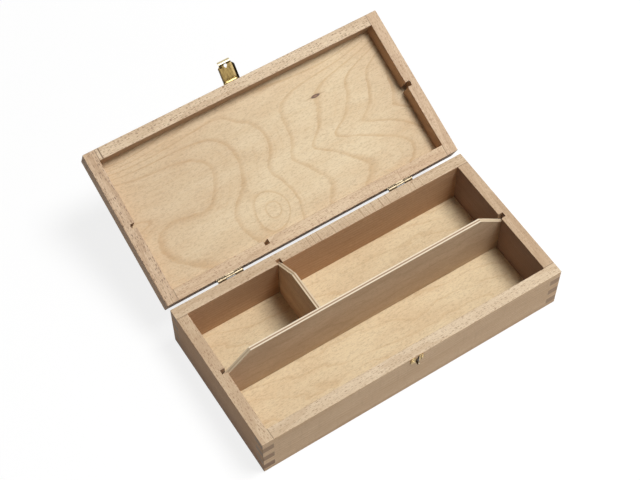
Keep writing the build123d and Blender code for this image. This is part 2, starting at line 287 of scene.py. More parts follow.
class Effect:
    """A node group that several finishes share. It is made once, and placed in each material.

    Attributes:
        name: The group's name.
        takes: What each of its inputs carries, by the input's name.
        gives: The names of its outputs, which are masks and other numbers.
    """

    name: str
    takes: dict[str, Kind]
    gives: tuple[str, ...]

    @classmethod
    def build(cls, graph: Graph, given: Any) -> tuple[Feed, ...]:
        """Fills the group, and gives what each of its outputs is linked from, in order."""
        raise NotImplementedError

    @classmethod
    def group(cls) -> bpy.types.NodeTree:
        """The finished group, made the first time that it is asked for.

        Returns:
            The group.
        """
        tree = bpy.data.node_groups.get(cls.name)
        if tree is None:
            tree = bpy.data.node_groups.new(cls.name, "ShaderNodeTree")
            for name, kind in cls.takes.items():
                tree.interface.new_socket(name=name, in_out="INPUT", socket_type=kind.value)
            for name in cls.gives:
                tree.interface.new_socket(name=name, in_out="OUTPUT", socket_type=Kind.NUMBER.value)
            graph = Graph(tree)
            made = cls.build(graph, graph.node("NodeGroupInput").outputs)
            graph.node("NodeGroupOutput", dict(zip(cls.gives, made, strict=True)))
        return tree

    @classmethod
    def place(cls, graph: Graph, *feeds: Feed) -> Any:
        """Puts the group in a material.

        Args:
            graph: The material's node tree.
            feeds: What each input gets, in order.

        Returns:
            The group's outputs, by name.
        """
        made = graph.node("ShaderNodeGroup", node_tree=cls.group())
        for name, feed in zip(cls.takes, feeds, strict=True):
            graph.feed(made.inputs[name], feed)
        return made.outputs


class EdgeWear(Effect):
    """Where hands and sanding have rubbed the edges."""

    name = "edge wear"
    takes = {"Place": Kind.VECTOR, "Reach": Kind.NUMBER, "Grit": Kind.NUMBER}
    gives = ("Worn",)
    BENT = (0.995, 0.80)  # cosines from the flat to the sharpest edge
    BEVEL_SAMPLES = 6
    SPARED = Pattern((0.11, 0.11, 0.11), 4.0, 0.62, (0.62, 0.36))  # where dirt keeps them from it

    @classmethod
    def build(cls, graph: Graph, given: Any) -> tuple[Feed, ...]:
        """Fills the group.

        Args:
            graph: The group's node tree.
            given: The group's inputs, by name.

        Returns:
            What each output is linked from.
        """
        bevel = graph.node("ShaderNodeBevel", {"Radius": given["Reach"]}, samples=cls.BEVEL_SAMPLES)
        true = graph.node("ShaderNodeNewGeometry").outputs["Normal"]
        edge = graph.span(graph.dot(bevel.outputs["Normal"], true), *cls.BENT)
        spared = graph.mask(given["Place"], cls.SPARED)
        uneven = graph.minus(1.0, graph.times(given["Grit"], spared))
        return (graph.maths("MULTIPLY", edge, uneven, clamp=True),)


class SawnTimber(Effect):
    """The inside of a beech board: rings, fibres and ray flecks, cut wherever the board's faces are."""

    name = "sawn timber"
    takes = {"Place": Kind.VECTOR, "Ring Width": Kind.NUMBER, "Heart Distance": Kind.NUMBER}
    gives = ("Rings", "Fibres", "Flecks", "Tone", "Pores", "Mottle", "Bars")
    DRIFT, DRIFT_MM = Pattern((0.006, 0.035, 0.035), 3.0), 15.0  # how the rings wander
    RIPPLE, RIPPLE_MM = Pattern((0.03, 0.30, 0.30)), 1.1  # how they ripple
    FIBRES = Pattern((0.07, 1.8, 1.8), 4.0, 0.70)
    TONE = Pattern((0.010, 0.07, 0.07), 3.0, 0.55)
    PORES = Pattern((0.35, 7.0, 7.0), 1.0, 0.4, (0.60, 0.76))
    MOTTLE = Pattern((0.55, 1.1, 1.1), 3.0, 0.70)
    RAYS = (0.34, 1.95, 0.05)  # rays in a millimetre
    BEND, BEND_STEPS = Pattern((0.10, 0.02, 0.02)), 2.6  # how the dark bars bend
    BAR_MM = 4.4  # from one dark bar to the next
    RISE, STOP = (0.30, 0.93), (1.0, 0.95)  # the part of a ring over which late wood darkens, and stops
    BROAD_BAR, THIN_BAR = (0.11, 0.03), (0.30, 0.10)  # from a bar's middle, where it starts and is full
    THIN_BARS, THIN_SHARE = 3.0, 0.20  # how many thin bars there are to a broad one, and how dark they are

    @classmethod
    def rings(cls, graph: Graph, given: Any) -> Socket:
        """The late wood that ends each ring: it darkens slowly and stops short.

        Args:
            graph: The group's node tree.
            given: The group's inputs, by name.

        Returns:
            The mask.
        """
        place = given["Place"]
        out = graph.plus(graph.axis(place, "Z"), given["Heart Distance"])
        beside = graph.axis(place, "Y")
        radius = graph.maths("SQRT", graph.plus(graph.times(out, out), graph.times(beside, beside)))
        shifted = graph.total(radius, (graph.noise(place, cls.DRIFT), cls.DRIFT_MM),
                              (graph.noise(place, cls.RIPPLE), cls.RIPPLE_MM))
        turn = graph.maths("FRACT", graph.maths("DIVIDE", shifted, given["Ring Width"]))
        return graph.times(graph.span(turn, *cls.RISE), graph.span(turn, *cls.STOP))

    @classmethod
    def bars(cls, graph: Graph, place: Feed) -> Socket:
        """Dark bars across the grain, some strong and some weak, with thin ones over them.

        Args:
            graph: The group's node tree.
            place: Coordinates in millimetres.

        Returns:
            The mask.
        """
        steps = graph.maths("DIVIDE", graph.axis(place, "X"), cls.BAR_MM)
        along = graph.total(steps, (graph.noise(place, cls.BEND), cls.BEND_STEPS))
        number = graph.maths("FLOOR", along)
        drawn = graph.node("ShaderNodeTexWhiteNoise", {"W": number}, noise_dimensions="1D").outputs["Value"]
        broad = graph.span(graph.off(graph.maths("FRACT", along), 0.5), *cls.BROAD_BAR)
        broad = graph.times(broad, graph.span(drawn, 0.2, 1.0, 0.22, 1.0))
        thin = graph.off(graph.maths("FRACT", graph.times(along, cls.THIN_BARS)), 0.5)
        return graph.most(broad, graph.span(thin, *cls.THIN_BAR, 0.0, cls.THIN_SHARE))

    @classmethod
    def build(cls, graph: Graph, given: Any) -> tuple[Feed, ...]:
        """Fills the group.

        Args:
            graph: The group's node tree.
            given: The group's inputs, by name.

        Returns:
            What each output is linked from.
        """
        place = given["Place"]
        flecks = graph.marks(place, cls.RAYS, "Red", 0.10, (0.14, 0.52), 0.45)
        return (cls.rings(graph, given), graph.noise(place, cls.FIBRES), flecks, graph.noise(place, cls.TONE),
                graph.mask(place, cls.PORES), graph.noise(place, cls.MOTTLE), cls.bars(graph, place))


class Swirl(Effect):
    """A hill in the level field that rotary cutting turns into a closed figure."""

    name = "swirl"
    takes = {"Level": Kind.NUMBER, "Place": Kind.VECTOR, "Middle": Kind.VECTOR, "Sharpness": Kind.VECTOR,
             "Height": Kind.NUMBER}
    gives = ("Level",)

    @classmethod
    def build(cls, graph: Graph, given: Any) -> tuple[Feed, ...]:
        """Fills the group.

        Args:
            graph: The group's node tree.
            given: The group's inputs, by name.

        Returns:
            What each output is linked from.
        """
        away = graph.vector("SUBTRACT", given["Place"], given["Middle"])
        scaled = graph.stretch(away, given["Sharpness"])
        hill = graph.maths("EXPONENT", graph.times(graph.dot(scaled, scaled), -1.0))
        return (graph.plus(given["Level"], graph.times(hill, given["Height"])),)


class PeeledVeneer(Effect):
    """The face of a rotary-cut veneer: contour lines of its level field, short pores, and clouds."""

    name = "peeled veneer"
    takes = {"Place": Kind.VECTOR, "Level": Kind.NUMBER, "Line Width": Kind.NUMBER}
    gives = ("Lines", "Pores", "Tone", "Fibres", "Specks")
    RAGGED, RAGGED_LINES = Pattern((0.13, 0.30, 0.5), 4.0, 0.62), 0.17  # how the lines fray
    CRISP = (1.0, 0.93)  # the part of the way to the next line that is its crisp side
    FAINT, FAINT_LINES, FAINT_SHARE = Pattern((0.02, 0.04, 0.05), limits=(0.42, 0.66)), 3.0, 0.42
    FAINT_TAIL, FAINT_CRISP = (0.42, 0.0), (0.0, 0.12)
    STRONG, WEAKEST = Pattern((0.03, 0.05, 0.05), limits=(0.30, 0.70)), 0.55
    TONE = Pattern((0.02, 0.06, 0.05), 4.0, 0.55)
    FIBRES = Pattern((0.05, 1.7, 1.7), 4.0, 0.68)
    SPECKS = Pattern((0.42, 1.2, 1.0), 4.0, 0.80)
    PORES = (0.42, 2.1, 1.0)  # pores in a millimetre

    @classmethod
    def lines(cls, graph: Graph, given: Any) -> Socket:
        """Contour lines, crisp on one side, with faint ones between them.

        Args:
            graph: The group's node tree.
            given: The group's inputs, by name.

        Returns:
            The mask.
        """
        place = given["Place"]
        level = graph.total(given["Level"], (graph.noise(place, cls.RAGGED), cls.RAGGED_LINES))
        turn = graph.maths("FRACT", level)
        tail = graph.span(turn, given["Line Width"], 0.0)
        crisp = graph.minus(1.0, graph.span(turn, *cls.CRISP))
        between = graph.maths("FRACT", graph.total(0.4, (level, cls.FAINT_LINES)))
        faint = graph.times(graph.span(between, *cls.FAINT_TAIL), graph.span(between, *cls.FAINT_CRISP))
        faint = graph.times(graph.times(faint, graph.mask(place, cls.FAINT)), cls.FAINT_SHARE)
        strength = graph.total(cls.WEAKEST, (graph.mask(place, cls.STRONG), 1.0 - cls.WEAKEST))
        return graph.times(graph.most(graph.most(tail, crisp), faint), strength)

    @classmethod
    def build(cls, graph: Graph, given: Any) -> tuple[Feed, ...]:
        """Fills the group.

        Args:
            graph: The group's node tree.
            given: The group's inputs, by name.

        Returns:
            What each output is linked from.
        """
        place = given["Place"]
        pores = graph.marks(place, cls.PORES, "Green", 0.55, (0.02, 0.30), 0.4)
        return (cls.lines(graph, given), pores, graph.noise(place, cls.TONE), graph.noise(place, cls.FIBRES),
                graph.noise(place, cls.SPECKS))


class PlyStack(Effect):
    """The cut edge of three-layer plywood: pale outer layers, a dark core and two thin glue lines."""

    name = "ply stack"
    takes = {"Place": Kind.VECTOR, "Thickness": Kind.NUMBER, "Core Share": Kind.NUMBER}
    gives = ("Core", "Glue", "Fuzz")
    WAVER, WAVER_MM = Pattern((0.12, 0.12, 0.0)), 0.16  # how the layers waver
    FUZZ = Pattern((2.2, 2.2, 5.0), 2.0, 0.6)
    CORE, GLUE = (0.05, -0.05), (0.07, 0.02)  # past the core's face, as shares of half the thickness

    @classmethod
    def build(cls, graph: Graph, given: Any) -> tuple[Feed, ...]:
        """Fills the group.

        Args:
            graph: The group's node tree.
            given: The group's inputs, by name.

        Returns:
            What each output is linked from.
        """
        waver = graph.minus(graph.noise(given["Place"], cls.WAVER), 0.5)
        depth = graph.total(graph.axis(given["Place"], "Z"), (waver, cls.WAVER_MM))
        share = graph.maths("DIVIDE", graph.times(graph.maths("ABSOLUTE", depth), 2.0), given["Thickness"])
        past = graph.minus(share, given["Core Share"])
        glue = graph.span(graph.maths("ABSOLUTE", past), *cls.GLUE)
        return graph.span(past, *cls.CORE), glue, graph.noise(given["Place"], cls.FUZZ)


class HandlingMarks(Effect):
    """Faint smudges and dents left by use."""

    name = "handling marks"
    takes = {"Place": Kind.VECTOR}
    gives = ("Smudge", "Dents")
    SMUDGE = Pattern((0.028, 0.045, 0.045), 5.0, 0.68, (0.55, 0.82))
    DENTS, DENT_SIZE = (0.055, 0.075, 0.075), (0.09, 0.03)  # dents in a millimetre, and their limits

    @classmethod
    def build(cls, graph: Graph, given: Any) -> tuple[Feed, ...]:
        """Fills the group, and gives what each output is linked from."""
        dents = graph.span(graph.cells(given["Place"], cls.DENTS).outputs["Distance"], *cls.DENT_SIZE)
        return graph.mask(given["Place"], cls.SMUDGE), dents


class MetalWear(Effect):
    """Fine scratches, tarnish and small pits in pressed brass."""

    name = "metal wear"
    takes = {"Place": Kind.VECTOR}
    gives = ("Scratches", "Tarnish", "Pits")
    ONE_WAY = Pattern((0.7, 11.0, 7.0), 2.0, 0.6, (0.60, 0.72))
    OTHER_WAY = Pattern((9.0, 0.8, 6.0), 2.0, 0.6, (0.64, 0.76))
    TARNISH = Pattern((0.45, 0.45, 0.45), 5.0, 0.66, (0.42, 0.70))
    PITS, PIT_SIZE = (1.3, 1.3, 1.3), (0.16, 0.05)  # pits in a millimetre, and their limits

    @classmethod
    def build(cls, graph: Graph, given: Any) -> tuple[Feed, ...]:
        """Fills the group.

        Args:
            graph: The group's node tree.
            given: The group's inputs, by name.

        Returns:
            What each output is linked from.
        """
        place = given["Place"]
        scratches = graph.most(graph.mask(place, cls.ONE_WAY), graph.mask(place, cls.OTHER_WAY))
        pits = graph.span(graph.cells(place, cls.PITS).outputs["Distance"], *cls.PIT_SIZE)
        return scratches, graph.mask(place, cls.TARNISH), pits


class Lay(Enum):
    """Which way a board lies: the directions of its grain, its width and its thickness."""

    LONG_WALL = ((1.0, 0.0, 0.0), (0.0, 0.0, 1.0), (0.0, -1.0, 0.0))
    SIDE_WALL = ((0.0, 1.0, 0.0), (0.0, 0.0, 1.0), (1.0, 0.0, 0.0))
    FLAT = ((1.0, 0.0, 0.0), (0.0, 1.0, 0.0), (0.0, 0.0, 1.0))


class Side(Enum):
    """Which of a board's faces are meant, by the axis that they face along."""

    ENDS = 0
    EDGES = 1
    BROAD = 2
    HEART = 3  # whatever faces the tree's heart or the bark


class Carrier(Enum):
    """What a board belongs to, which says how it is turned in the frame."""

    BASE = "base"
    LID = "lid"

    def shutting(self) -> Matrix:
        """The turn that takes a board of this carrier to where it lies in the shut box.

        Returns:
            The turn, in the frame's metres.
        """
        if self is Carrier.BASE:
            return Matrix.Identity(4)
        hinge = joint_called("lid_hinge")
        pin = Matrix.Translation(Vector(hinge["pos_m"]))
        turn = Matrix.Rotation(math.radians(hinge["range_deg"][0]), 4, Vector(hinge["axis"]))
        return pin @ turn @ pin.inverted()


@dataclass(frozen=True)
class Board:
    """A board's own coordinates, in millimetres along its grain, across it and through it, from its middle.

    Attributes:
        node: The CAD node.
        lay: Which way the board lies in the shut box.
        carrier: What the board belongs to.
        heart: How far the tree's heart is turned from the board's broad face, in degrees.
        start: Where along the tree the board was cut, in millimetres, so that no two match.
        inside: Which broad face looks into the box: 1 or -1 along the thickness, 0 for neither.
        barred: Where along the grain dark bars cross it, in millimetres from its middle, if they do.
        seams: Where along the grain a joint's glue line crosses its edge, in millimetres from its middle.
    """

    node: str
    lay: Lay
    carrier: Carrier = Carrier.BASE
    heart: float = 0.0
    start: float = 0.0
    inside: float = 0.0
    barred: Pair | None = None
    seams: tuple[float, ...] = ()
    GLUE_LINE = (0.65, 0.30)  # from a seam, where its glue line starts and is full
    BAR_FADES = (8.0, 12.0)  # over how far the bars fade at their first end and at their last

    def matrix(self) -> Matrix:
        """From the frame's metres to this board's millimetres, without its start and heart.

        Returns:
            The turn, shift and scale.
        """
        mesh = frame["nodes"][self.node].data
        corners = np.empty(len(mesh.vertices) * 3)
        mesh.vertices.foreach_get("co", corners)
        shut = self.carrier.shutting()
        turned = corners.reshape(-1, 3) @ np.array(shut.to_3x3()).T + np.array(shut.translation)
        middle = Vector((turned.min(axis=0) + turned.max(axis=0)) / 2.0)
        axes = Matrix(self.lay.value).to_4x4()
        return Matrix.Scale(MM_PER_M, 4) @ axes @ Matrix.Translation(-middle) @ shut

    def turned(self) -> Matrix:
        """From the frame's metres to millimetres in the tree: along it, round it and out from its heart."""
        turn = Matrix.Rotation(math.radians(self.heart), 4, "X")
        return Matrix.Translation((self.start, 0.0, 0.0)) @ turn @ self.matrix()

    def place(self, graph: Graph, solid: bool = True) -> Socket:
        """The board's coordinates in a material.

        Args:
            graph: The material's node tree.
            solid: Whether the start and the heart are counted, as for a grain that runs through the wood.

        Returns:
            The coordinates.
        """
        matrix = self.turned() if solid else self.matrix()
        feeds = {
            "Vector": graph.surface("Object"),
            "Location": matrix.translation,
            "Rotation": matrix.to_3x3().normalized().to_euler("XYZ"),
            "Scale": (MM_PER_M,) * 3,
        }
        return graph.node("ShaderNodeMapping", feeds, vector_type="POINT").outputs["Vector"]

    def along(self, graph: Graph) -> Socket:
        """How far along the grain it is from the board's middle, in millimetres."""
        return graph.axis(self.place(graph, solid=False), "X")

    def facing(self, graph: Graph, side: Side, limits: Pair = SQUARE) -> Socket:
        """A mask of two opposite faces.

        Args:
            graph: The material's node tree.
            side: Which faces.
            limits: The cosines at which the mask is nought and one.

        Returns:
            The mask.
        """
        heart = side is Side.HEART
        axes = (self.turned() if heart else self.matrix()).to_3x3().normalized()
        way = tuple(axes[Side.BROAD.value if heart else side.value])
        along = graph.dot(graph.surface("Normal"), way)
        return graph.span(graph.maths("ABSOLUTE", along), *limits)

    def inward(self, graph: Graph) -> Socket:
        """A mask of the broad face that looks into the box."""
        return graph.facing(tuple(self.matrix().to_3x3().normalized()[Side.BROAD.value] * self.inside))

    def foot(self, graph: Graph, height: float) -> Socket:
        """A mask that grows from nought at a height, in millimetres, to one at the table."""
        return graph.span(graph.axis(graph.millimetres(), "Z"), height, 0.0)

    def glue(self, graph: Graph) -> Socket:
        """The glue lines on the board's edge.

        Args:
            graph: The material's node tree.

        Returns:
            The mask.
        """
        along = self.along(graph)
        lines = 0.0
        for seam in self.seams:
            lines = graph.most(lines, graph.span(graph.off(along, seam), *self.GLUE_LINE))
        return graph.times(lines, self.facing(graph, Side.EDGES))

    def bars(self, graph: Graph) -> Socket:
        """The length that dark bars cross, which fades out at both ends.

        Args:
            graph: The material's node tree.

        Returns:
            The mask.
        """
        along = self.along(graph)
        (first, last), (fade_in, fade_out) = self.barred, self.BAR_FADES
        after = graph.span(along, first - fade_in, first + fade_in)
        return graph.times(after, graph.span(along, last + fade_out, last - fade_out))


@dataclass(frozen=True, kw_only=True)
class Finish:
    """What every finish shares: a fresh material whose surface is one Principled BSDF, with rubbed edges.

    Attributes:
        wear_reach: How far from an edge it is rubbed, in metres.
        grit: How patchy the rubbing is, from nought to one.
        relief: How deep the surface's relief is, in metres.
        relief_share: How much of the relief shows.
    """

    wear_reach: float
    grit: float
    relief: float
    relief_share: float

    @staticmethod
    def start(name: str) -> tuple[bpy.types.Material, Graph, bpy.types.Node]:
        """A new material.

        Args:
            name: The material's name.

        Returns:
            The material, its graph and its surface shader.
        """
        material = bpy.data.materials.new(name)
        material.use_nodes = True
        graph = Graph(material.node_tree)
        return material, graph, material.node_tree.nodes["Principled BSDF"]

    @staticmethod
    def wear(node: str, material: bpy.types.Material) -> None:
        """Puts a material on all of a CAD node.

        Args:
            node: The node's name.
            material: What it is finished in.
        """
        mesh = frame["nodes"][node].data
        mesh.materials.clear()
        mesh.materials.append(material)
        log.info("%s: %s", node, material.name)

    def worn(self, graph: Graph, place: Feed) -> Socket:
        """A mask of the rubbed edges."""
        return EdgeWear.place(graph, place, self.wear_reach, self.grit)["Worn"]

    def surface(self, graph: Graph, shader: bpy.types.Node, colour: Feed, rough: Feed, relief: Feed) -> None:
        """Feeds the surface shader.

        Args:
            graph: The material's node tree.
            shader: Its surface shader.
            colour: The surface's colour.
            rough: Its roughness.
            relief: Its relief, from nought to one.
        """
        graph.feed(shader.inputs["Base Color"], colour)
        graph.feed(shader.inputs["Roughness"], rough)
        graph.feed(shader.inputs["Normal"], graph.bump(relief, self.relief, self.relief_share))


@dataclass(frozen=True, kw_only=True)
class BareBeech(Finish):
    """Planed and sanded beech with no varnish.

    The pairs in capitals say at which values of an effect its stain starts and is full.

    Attributes:
        pale: Early wood.
        warm: Wood between the rings.
        late: The thin line that ends a ring.
        fleck: The rays, where they show as short dark dashes.
        end: The cut ends of the grain.
        face: The painted shade of the broad faces, a darker and warmer stain than the rims get.
        inner_face_shade: The painted shade of the faces inside the box, laid on as a further stain.
        foot_shade: The painted shade of a wall's foot, darker towards the table.
        glue: The glue lines of the corner joints.
        foot_shade_height: How far up from the table the painted shade shows, in millimetres.
        fleck_share: How strongly the rays show on a face that cuts across them.
        fibre_share: How strongly the darker fibres show.
        bar_share: How strongly the dark bars show on a board that has them.
        ring_share: How strongly the rings show.
        pore_share: How strongly the pores show.
        mottle_share: How strongly the mottling shows.
        end_share: How strongly the cut ends show.
        glue_share: How strongly the glue lines show.
        smudge_share: How strongly the smudges show.
        worn_share: How much the rubbed edges go back to early wood.
        ring_width: From one ring to the next, in millimetres.
        heart_distance: From the tree's heart to the board's middle, in millimetres.
        matt: The roughness between the fibres and on them.
        polish: How much smoother the rubbed edges are.
    """

    pale: Colour = paint(228, 207, 177)
    warm: Colour = paint(218, 194, 162)
    late: Colour = paint(192, 162, 127)
    fleck: Colour = paint(146, 112, 84)
    end: Colour = paint(160, 131, 101)
    face: Colour = (1.0, 0.90, 0.81, 1.0)
    inner_face_shade: Colour = (0.80, 0.72, 0.68, 1.0)
    foot_shade: Colour = (0.80, 0.76, 0.72, 1.0)
    glue: Colour = paint(104, 76, 54)
    foot_shade_height: float = 7.0
    fleck_share: float = 0.82
    fibre_share: float = 0.50
    bar_share: float = 0.75
    ring_share: float = 0.42
    pore_share: float = 0.30
    mottle_share: float = 0.46
    end_share: float = 0.9
    glue_share: float = 0.80
    smudge_share: float = 0.14
    worn_share: float = 0.30
    ring_width: float = 2.7
    heart_distance: float = 90.0
    matt: Pair = (0.56, 0.74)
    polish: float = 0.12
    wear_reach: float = 0.0009
    grit: float = 0.8
    relief: float = 0.00009
    relief_share: float = 0.7
    TONE, FIBRES, MOTTLE, END_FIBRES = (0.30, 0.72), (0.45, 0.75), (0.42, 0.70), (0.48, 0.66)
    FLAT_SAWN = (0.30, 0.85)  # cosines at which the rays begin to show as flecks, and fully do
    LEAST_RAYS = 0.08  # the share of the flecks that shows on a face cut along them
    END_RINGS, END_FIBRE_SHARE = 0.6, 0.55

    def colour(self, graph: Graph, board: Board, wood: Any) -> Socket:
        """The wood's own colour, with its end grain.

        Args:
            graph: The material's node tree.
            board: Which board, and how it was cut.
            wood: The outputs of its sawn timber.

        Returns:
            The colour.
        """
        flat_sawn = board.facing(graph, Side.HEART, self.FLAT_SAWN)
        colour = graph.mix(graph.span(wood["Tone"], *self.TONE), self.pale, self.warm)
        colour = graph.tint(colour, wood["Rings"], self.ring_share, self.late)
        colour = graph.tint(colour, graph.span(wood["Fibres"], *self.FIBRES), self.fibre_share, self.late)
        rays = graph.span(flat_sawn, 0.0, 1.0, self.LEAST_RAYS, self.fleck_share)
        colour = graph.tint(colour, wood["Flecks"], rays, self.fleck)
        colour = graph.tint(colour, wood["Pores"], self.pore_share, self.fleck)
        if board.barred is not None:
            crossed = graph.times(graph.times(wood["Bars"], board.bars(graph)), flat_sawn)
            colour = graph.tint(colour, crossed, self.bar_share, self.fleck)
        colour = graph.tint(colour, graph.span(wood["Mottle"], *self.MOTTLE), self.mottle_share, self.late)
        end = graph.tint(self.end, wood["Rings"], self.END_RINGS, self.fleck)
        fibres = graph.span(wood["Fibres"], *self.END_FIBRES)
        end = graph.tint(end, fibres, self.END_FIBRE_SHARE, self.fleck)
        return graph.tint(colour, board.facing(graph, Side.ENDS), self.end_share, end)

    def dress(self, board: Board) -> None:
        """Finishes one board.

        Args:
            board: Which board, and how it was cut.
        """
        material, graph, shader = self.start("beech " + board.node.replace("_", " "))
        place = board.place(graph)
        wood = SawnTimber.place(graph, place, self.ring_width, self.heart_distance)
        worn = self.worn(graph, place)
        marks = HandlingMarks.place(graph, place)
        colour = self.colour(graph, board, wood)
        # Painted shade: the broad faces are stained darker and warmer than the rims.
        colour = graph.stain(colour, board.facing(graph, Side.BROAD), self.face)
        # Painted shade at a base wall's foot, darker towards the table.
        if board.carrier is Carrier.BASE:
            colour = graph.stain(colour, board.foot(graph, self.foot_shade_height), self.foot_shade)
        if board.seams:
            colour = graph.tint(colour, board.glue(graph), self.glue_share, self.glue)
        # Painted shade on the broad face that looks into the box.
        if board.inside:
            colour = graph.stain(colour, board.inward(graph), self.inner_face_shade)
        colour = graph.tint(colour, marks["Smudge"], self.smudge_share, self.fleck)
        colour = graph.tint(colour, worn, self.worn_share, self.pale)
        rough = graph.total(graph.span(wood["Fibres"], 0.2, 0.8, *self.matt), (worn, -self.polish))
        relief = graph.total(0.0, (wood["Fibres"], 0.6), (wood["Rings"], 0.25), (wood["Pores"], -0.5),
                             (marks["Dents"], -0.6))
        self.surface(graph, shader, colour, rough, relief)
        self.wear(board.node, material)


MELLOW_BEECH = BareBeech(pale=paint(221, 197, 165), warm=paint(209, 183, 151), late=paint(184, 153, 119))
WARM_BEECH = BareBeech(
    pale=paint(214, 187, 155), warm=paint(202, 173, 140), late=paint(176, 144, 111),
    fleck=paint(150, 110, 84), fleck_share=0.85,
)
FLECKED_BEECH = BareBeech(
    pale=paint(216, 189, 157), warm=paint(204, 175, 142), late=paint(168, 134, 102),
    fleck=paint(90, 56, 38), fleck_share=1.0, fibre_share=0.90,
)
# The left wall gets a strong painted shade on its broad faces and a tall band of painted shade at its foot.
LEFT_BEECH = BareBeech(
    pale=paint(221, 197, 164), warm=paint(209, 183, 150), late=paint(182, 150, 117),
    fleck=paint(150, 110, 84), fleck_share=0.85, face=(0.86, 0.66, 0.47, 1.0),
    foot_shade=(0.66, 0.58, 0.54, 1.0), foot_shade_height=26.0,
)
RED_BEECH = BareBeech(
    pale=paint(222, 198, 164), warm=paint(209, 180, 146), late=paint(182, 149, 115),
    fleck=paint(152, 108, 84), bar_share=0.45,
)
SHADED_BEECH = BareBeech(
    pale=paint(210, 183, 151), warm=paint(197, 168, 135), late=paint(176, 144, 111),
    fleck_share=0.70, end=paint(177, 145, 116), inner_face_shade=(0.48, 0.44, 0.52, 1.0),
)
# This rail's inner face gets a strong painted shade.
LID_FRONT_BEECH = BareBeech(
    pale=paint(224, 202, 171), late=paint(184, 153, 119), fleck=paint(128, 94, 68),
    inner_face_shade=(0.55, 0.49, 0.46, 1.0), fleck_share=1.0, fibre_share=0.75,
)


@dataclass(frozen=True)
class Spot:
    """A listed spot of a veneer, in millimetres from the panel's middle.

    Attributes:
        x: Along the panel.
        y: Across it.
        reach_x: Its half width along the panel.
        reach_y: Its half width across it.
    """

    x: float
    y: float
    reach_x: float
    reach_y: float

    def middle(self) -> Triple:
        """Where it is."""
        return (self.x, self.y, 0.0)

    def sharpness(self, share_x: float = 1.0, share_y: float = 1.0) -> Triple:
        """What coordinates from its middle are multiplied by, to be one at its rim."""
        return (share_x / self.reach_x, share_y / self.reach_y, 0.0)


@dataclass(frozen=True)
class Hill(Spot):
    """One hill or hollow of a veneer's figure.

    Attributes:
        height: How many contour lines it is high.
    """

    height: float


@dataclass(frozen=True)
class Knot(Spot):
    """A small dark knot.

    Attributes:
        rim: Its dark rim.
        heart: Its paler middle.
    """

    rim: Colour = paint(84, 54, 30)
    heart: Colour = paint(150, 106, 76)
    TAIL_SHAPE = (0.33, 1.6)  # how much slower and faster its tails end, along and across
    HALO, TAILS, RIM, HEART = (3.0, 0.6), (1.1, 0.2), (1.2, 0.8), (0.6, 0.3)  # limits, in half widths
    SHARES = (0.40, 0.60, 0.95, 0.65)  # how strongly each of the four shows

    def colour(self, graph: Graph, place: Feed, colour: Feed, halo: Feed, tail: Feed) -> Socket:
        """Lays the knot over a veneer's colour.

        Args:
            graph: The material's node tree.
            place: The panel's coordinates.
            colour: The veneer's colour.
            halo: What the veneer darkens to all round the knot.
            tail: What it darkens to along the grain.

        Returns:
            The colour.
        """
        away = graph.vector("SUBTRACT", place, self.middle())
        reach = graph.vector("LENGTH", graph.stretch(away, self.sharpness()))
        tails = graph.vector("LENGTH", graph.stretch(away, self.sharpness(*self.TAIL_SHAPE)))
        layers = ((reach, self.HALO, halo), (tails, self.TAILS, tail),
                  (reach, self.RIM, self.rim), (reach, self.HEART, self.heart))
        for (far, limits, other), share in zip(layers, self.SHARES, strict=True):
            colour = graph.tint(colour, graph.span(far, *limits), share, other)
        return colour


@dataclass(frozen=True)
class Figure:
    """The figure of a peeled veneer.

    Attributes:
        slope: Contour lines in a millimetre along the panel.
        rise: Contour lines in a millimetre across the panel.
        offset: Where the first line falls.
        waver: How much the lines wander by themselves, in contour lines.
        hills: The listed hills and hollows.
        knot: A small dark knot, if the face has one.
        wander: How the lines wander by themselves.
    """

    slope: float
    rise: float
    offset: float
    waver: float = 0.0
    hills: tuple[Hill, ...] = ()
    knot: Knot | None = None
    wander: Pattern = Pattern((0.016, 0.034, 0.02), 3.0, 0.55)

    def level(self, graph: Graph, place: Feed) -> Socket:
        """The level field whose whole numbers are the lines.

        Args:
            graph: The material's node tree.
            place: The panel's coordinates.

        Returns:
            The level.
        """
        level = graph.plus(graph.dot(place, (self.slope, self.rise, 0.0)), self.offset)
        if self.waver:
            level = graph.total(level, (graph.noise(place, self.wander), self.waver))
        for hill in self.hills:
            level = Swirl.place(graph, level, place, hill.middle(), hill.sharpness(), hill.height)["Level"]
        return level


@dataclass(frozen=True)
class DriftAndRailShade:
    """How a face darkens towards its front left corner, with painted shade at its right-hand end beside the
    rail.

    Attributes:
        stain: What the face's colour is multiplied by where it is darkest.
        lean: What the place is multiplied by, in millimetres, to grow away from the corner.
        corner: Where on that scale the corner is darkest, and where it stops.
        end: Where along the panel the painted shade at the other end starts, and where it is darkest, in
            millimetres.
        end_share: How dark the end is, as a share of the corner.
    """

    stain: Colour = (0.87, 0.82, 0.79, 1.0)
    lean: Triple = (1.0 / 300.0, 1.0 / 220.0, 0.0)
    corner: Pair = (-0.40, 0.15)
    end: Pair = (72.0, 108.0)
    end_share: float = 0.6

    def colour(self, graph: Graph, place: Feed, colour: Feed) -> Socket:
        """Lays the drift over a veneer's colour.

        Args:
            graph: The material's node tree.
            place: The panel's coordinates.
            colour: The veneer's colour.

        Returns:
            The colour.
        """
        corner = graph.span(graph.dot(place, self.lean), *self.corner, 1.0, 0.0)
        # The darkening at the right-hand end is painted shade beside the lid's right rail.
        end = graph.span(graph.axis(place, "X"), *self.end, 0.0, self.end_share)
        return graph.stain(colour, graph.most(corner, end), self.stain)


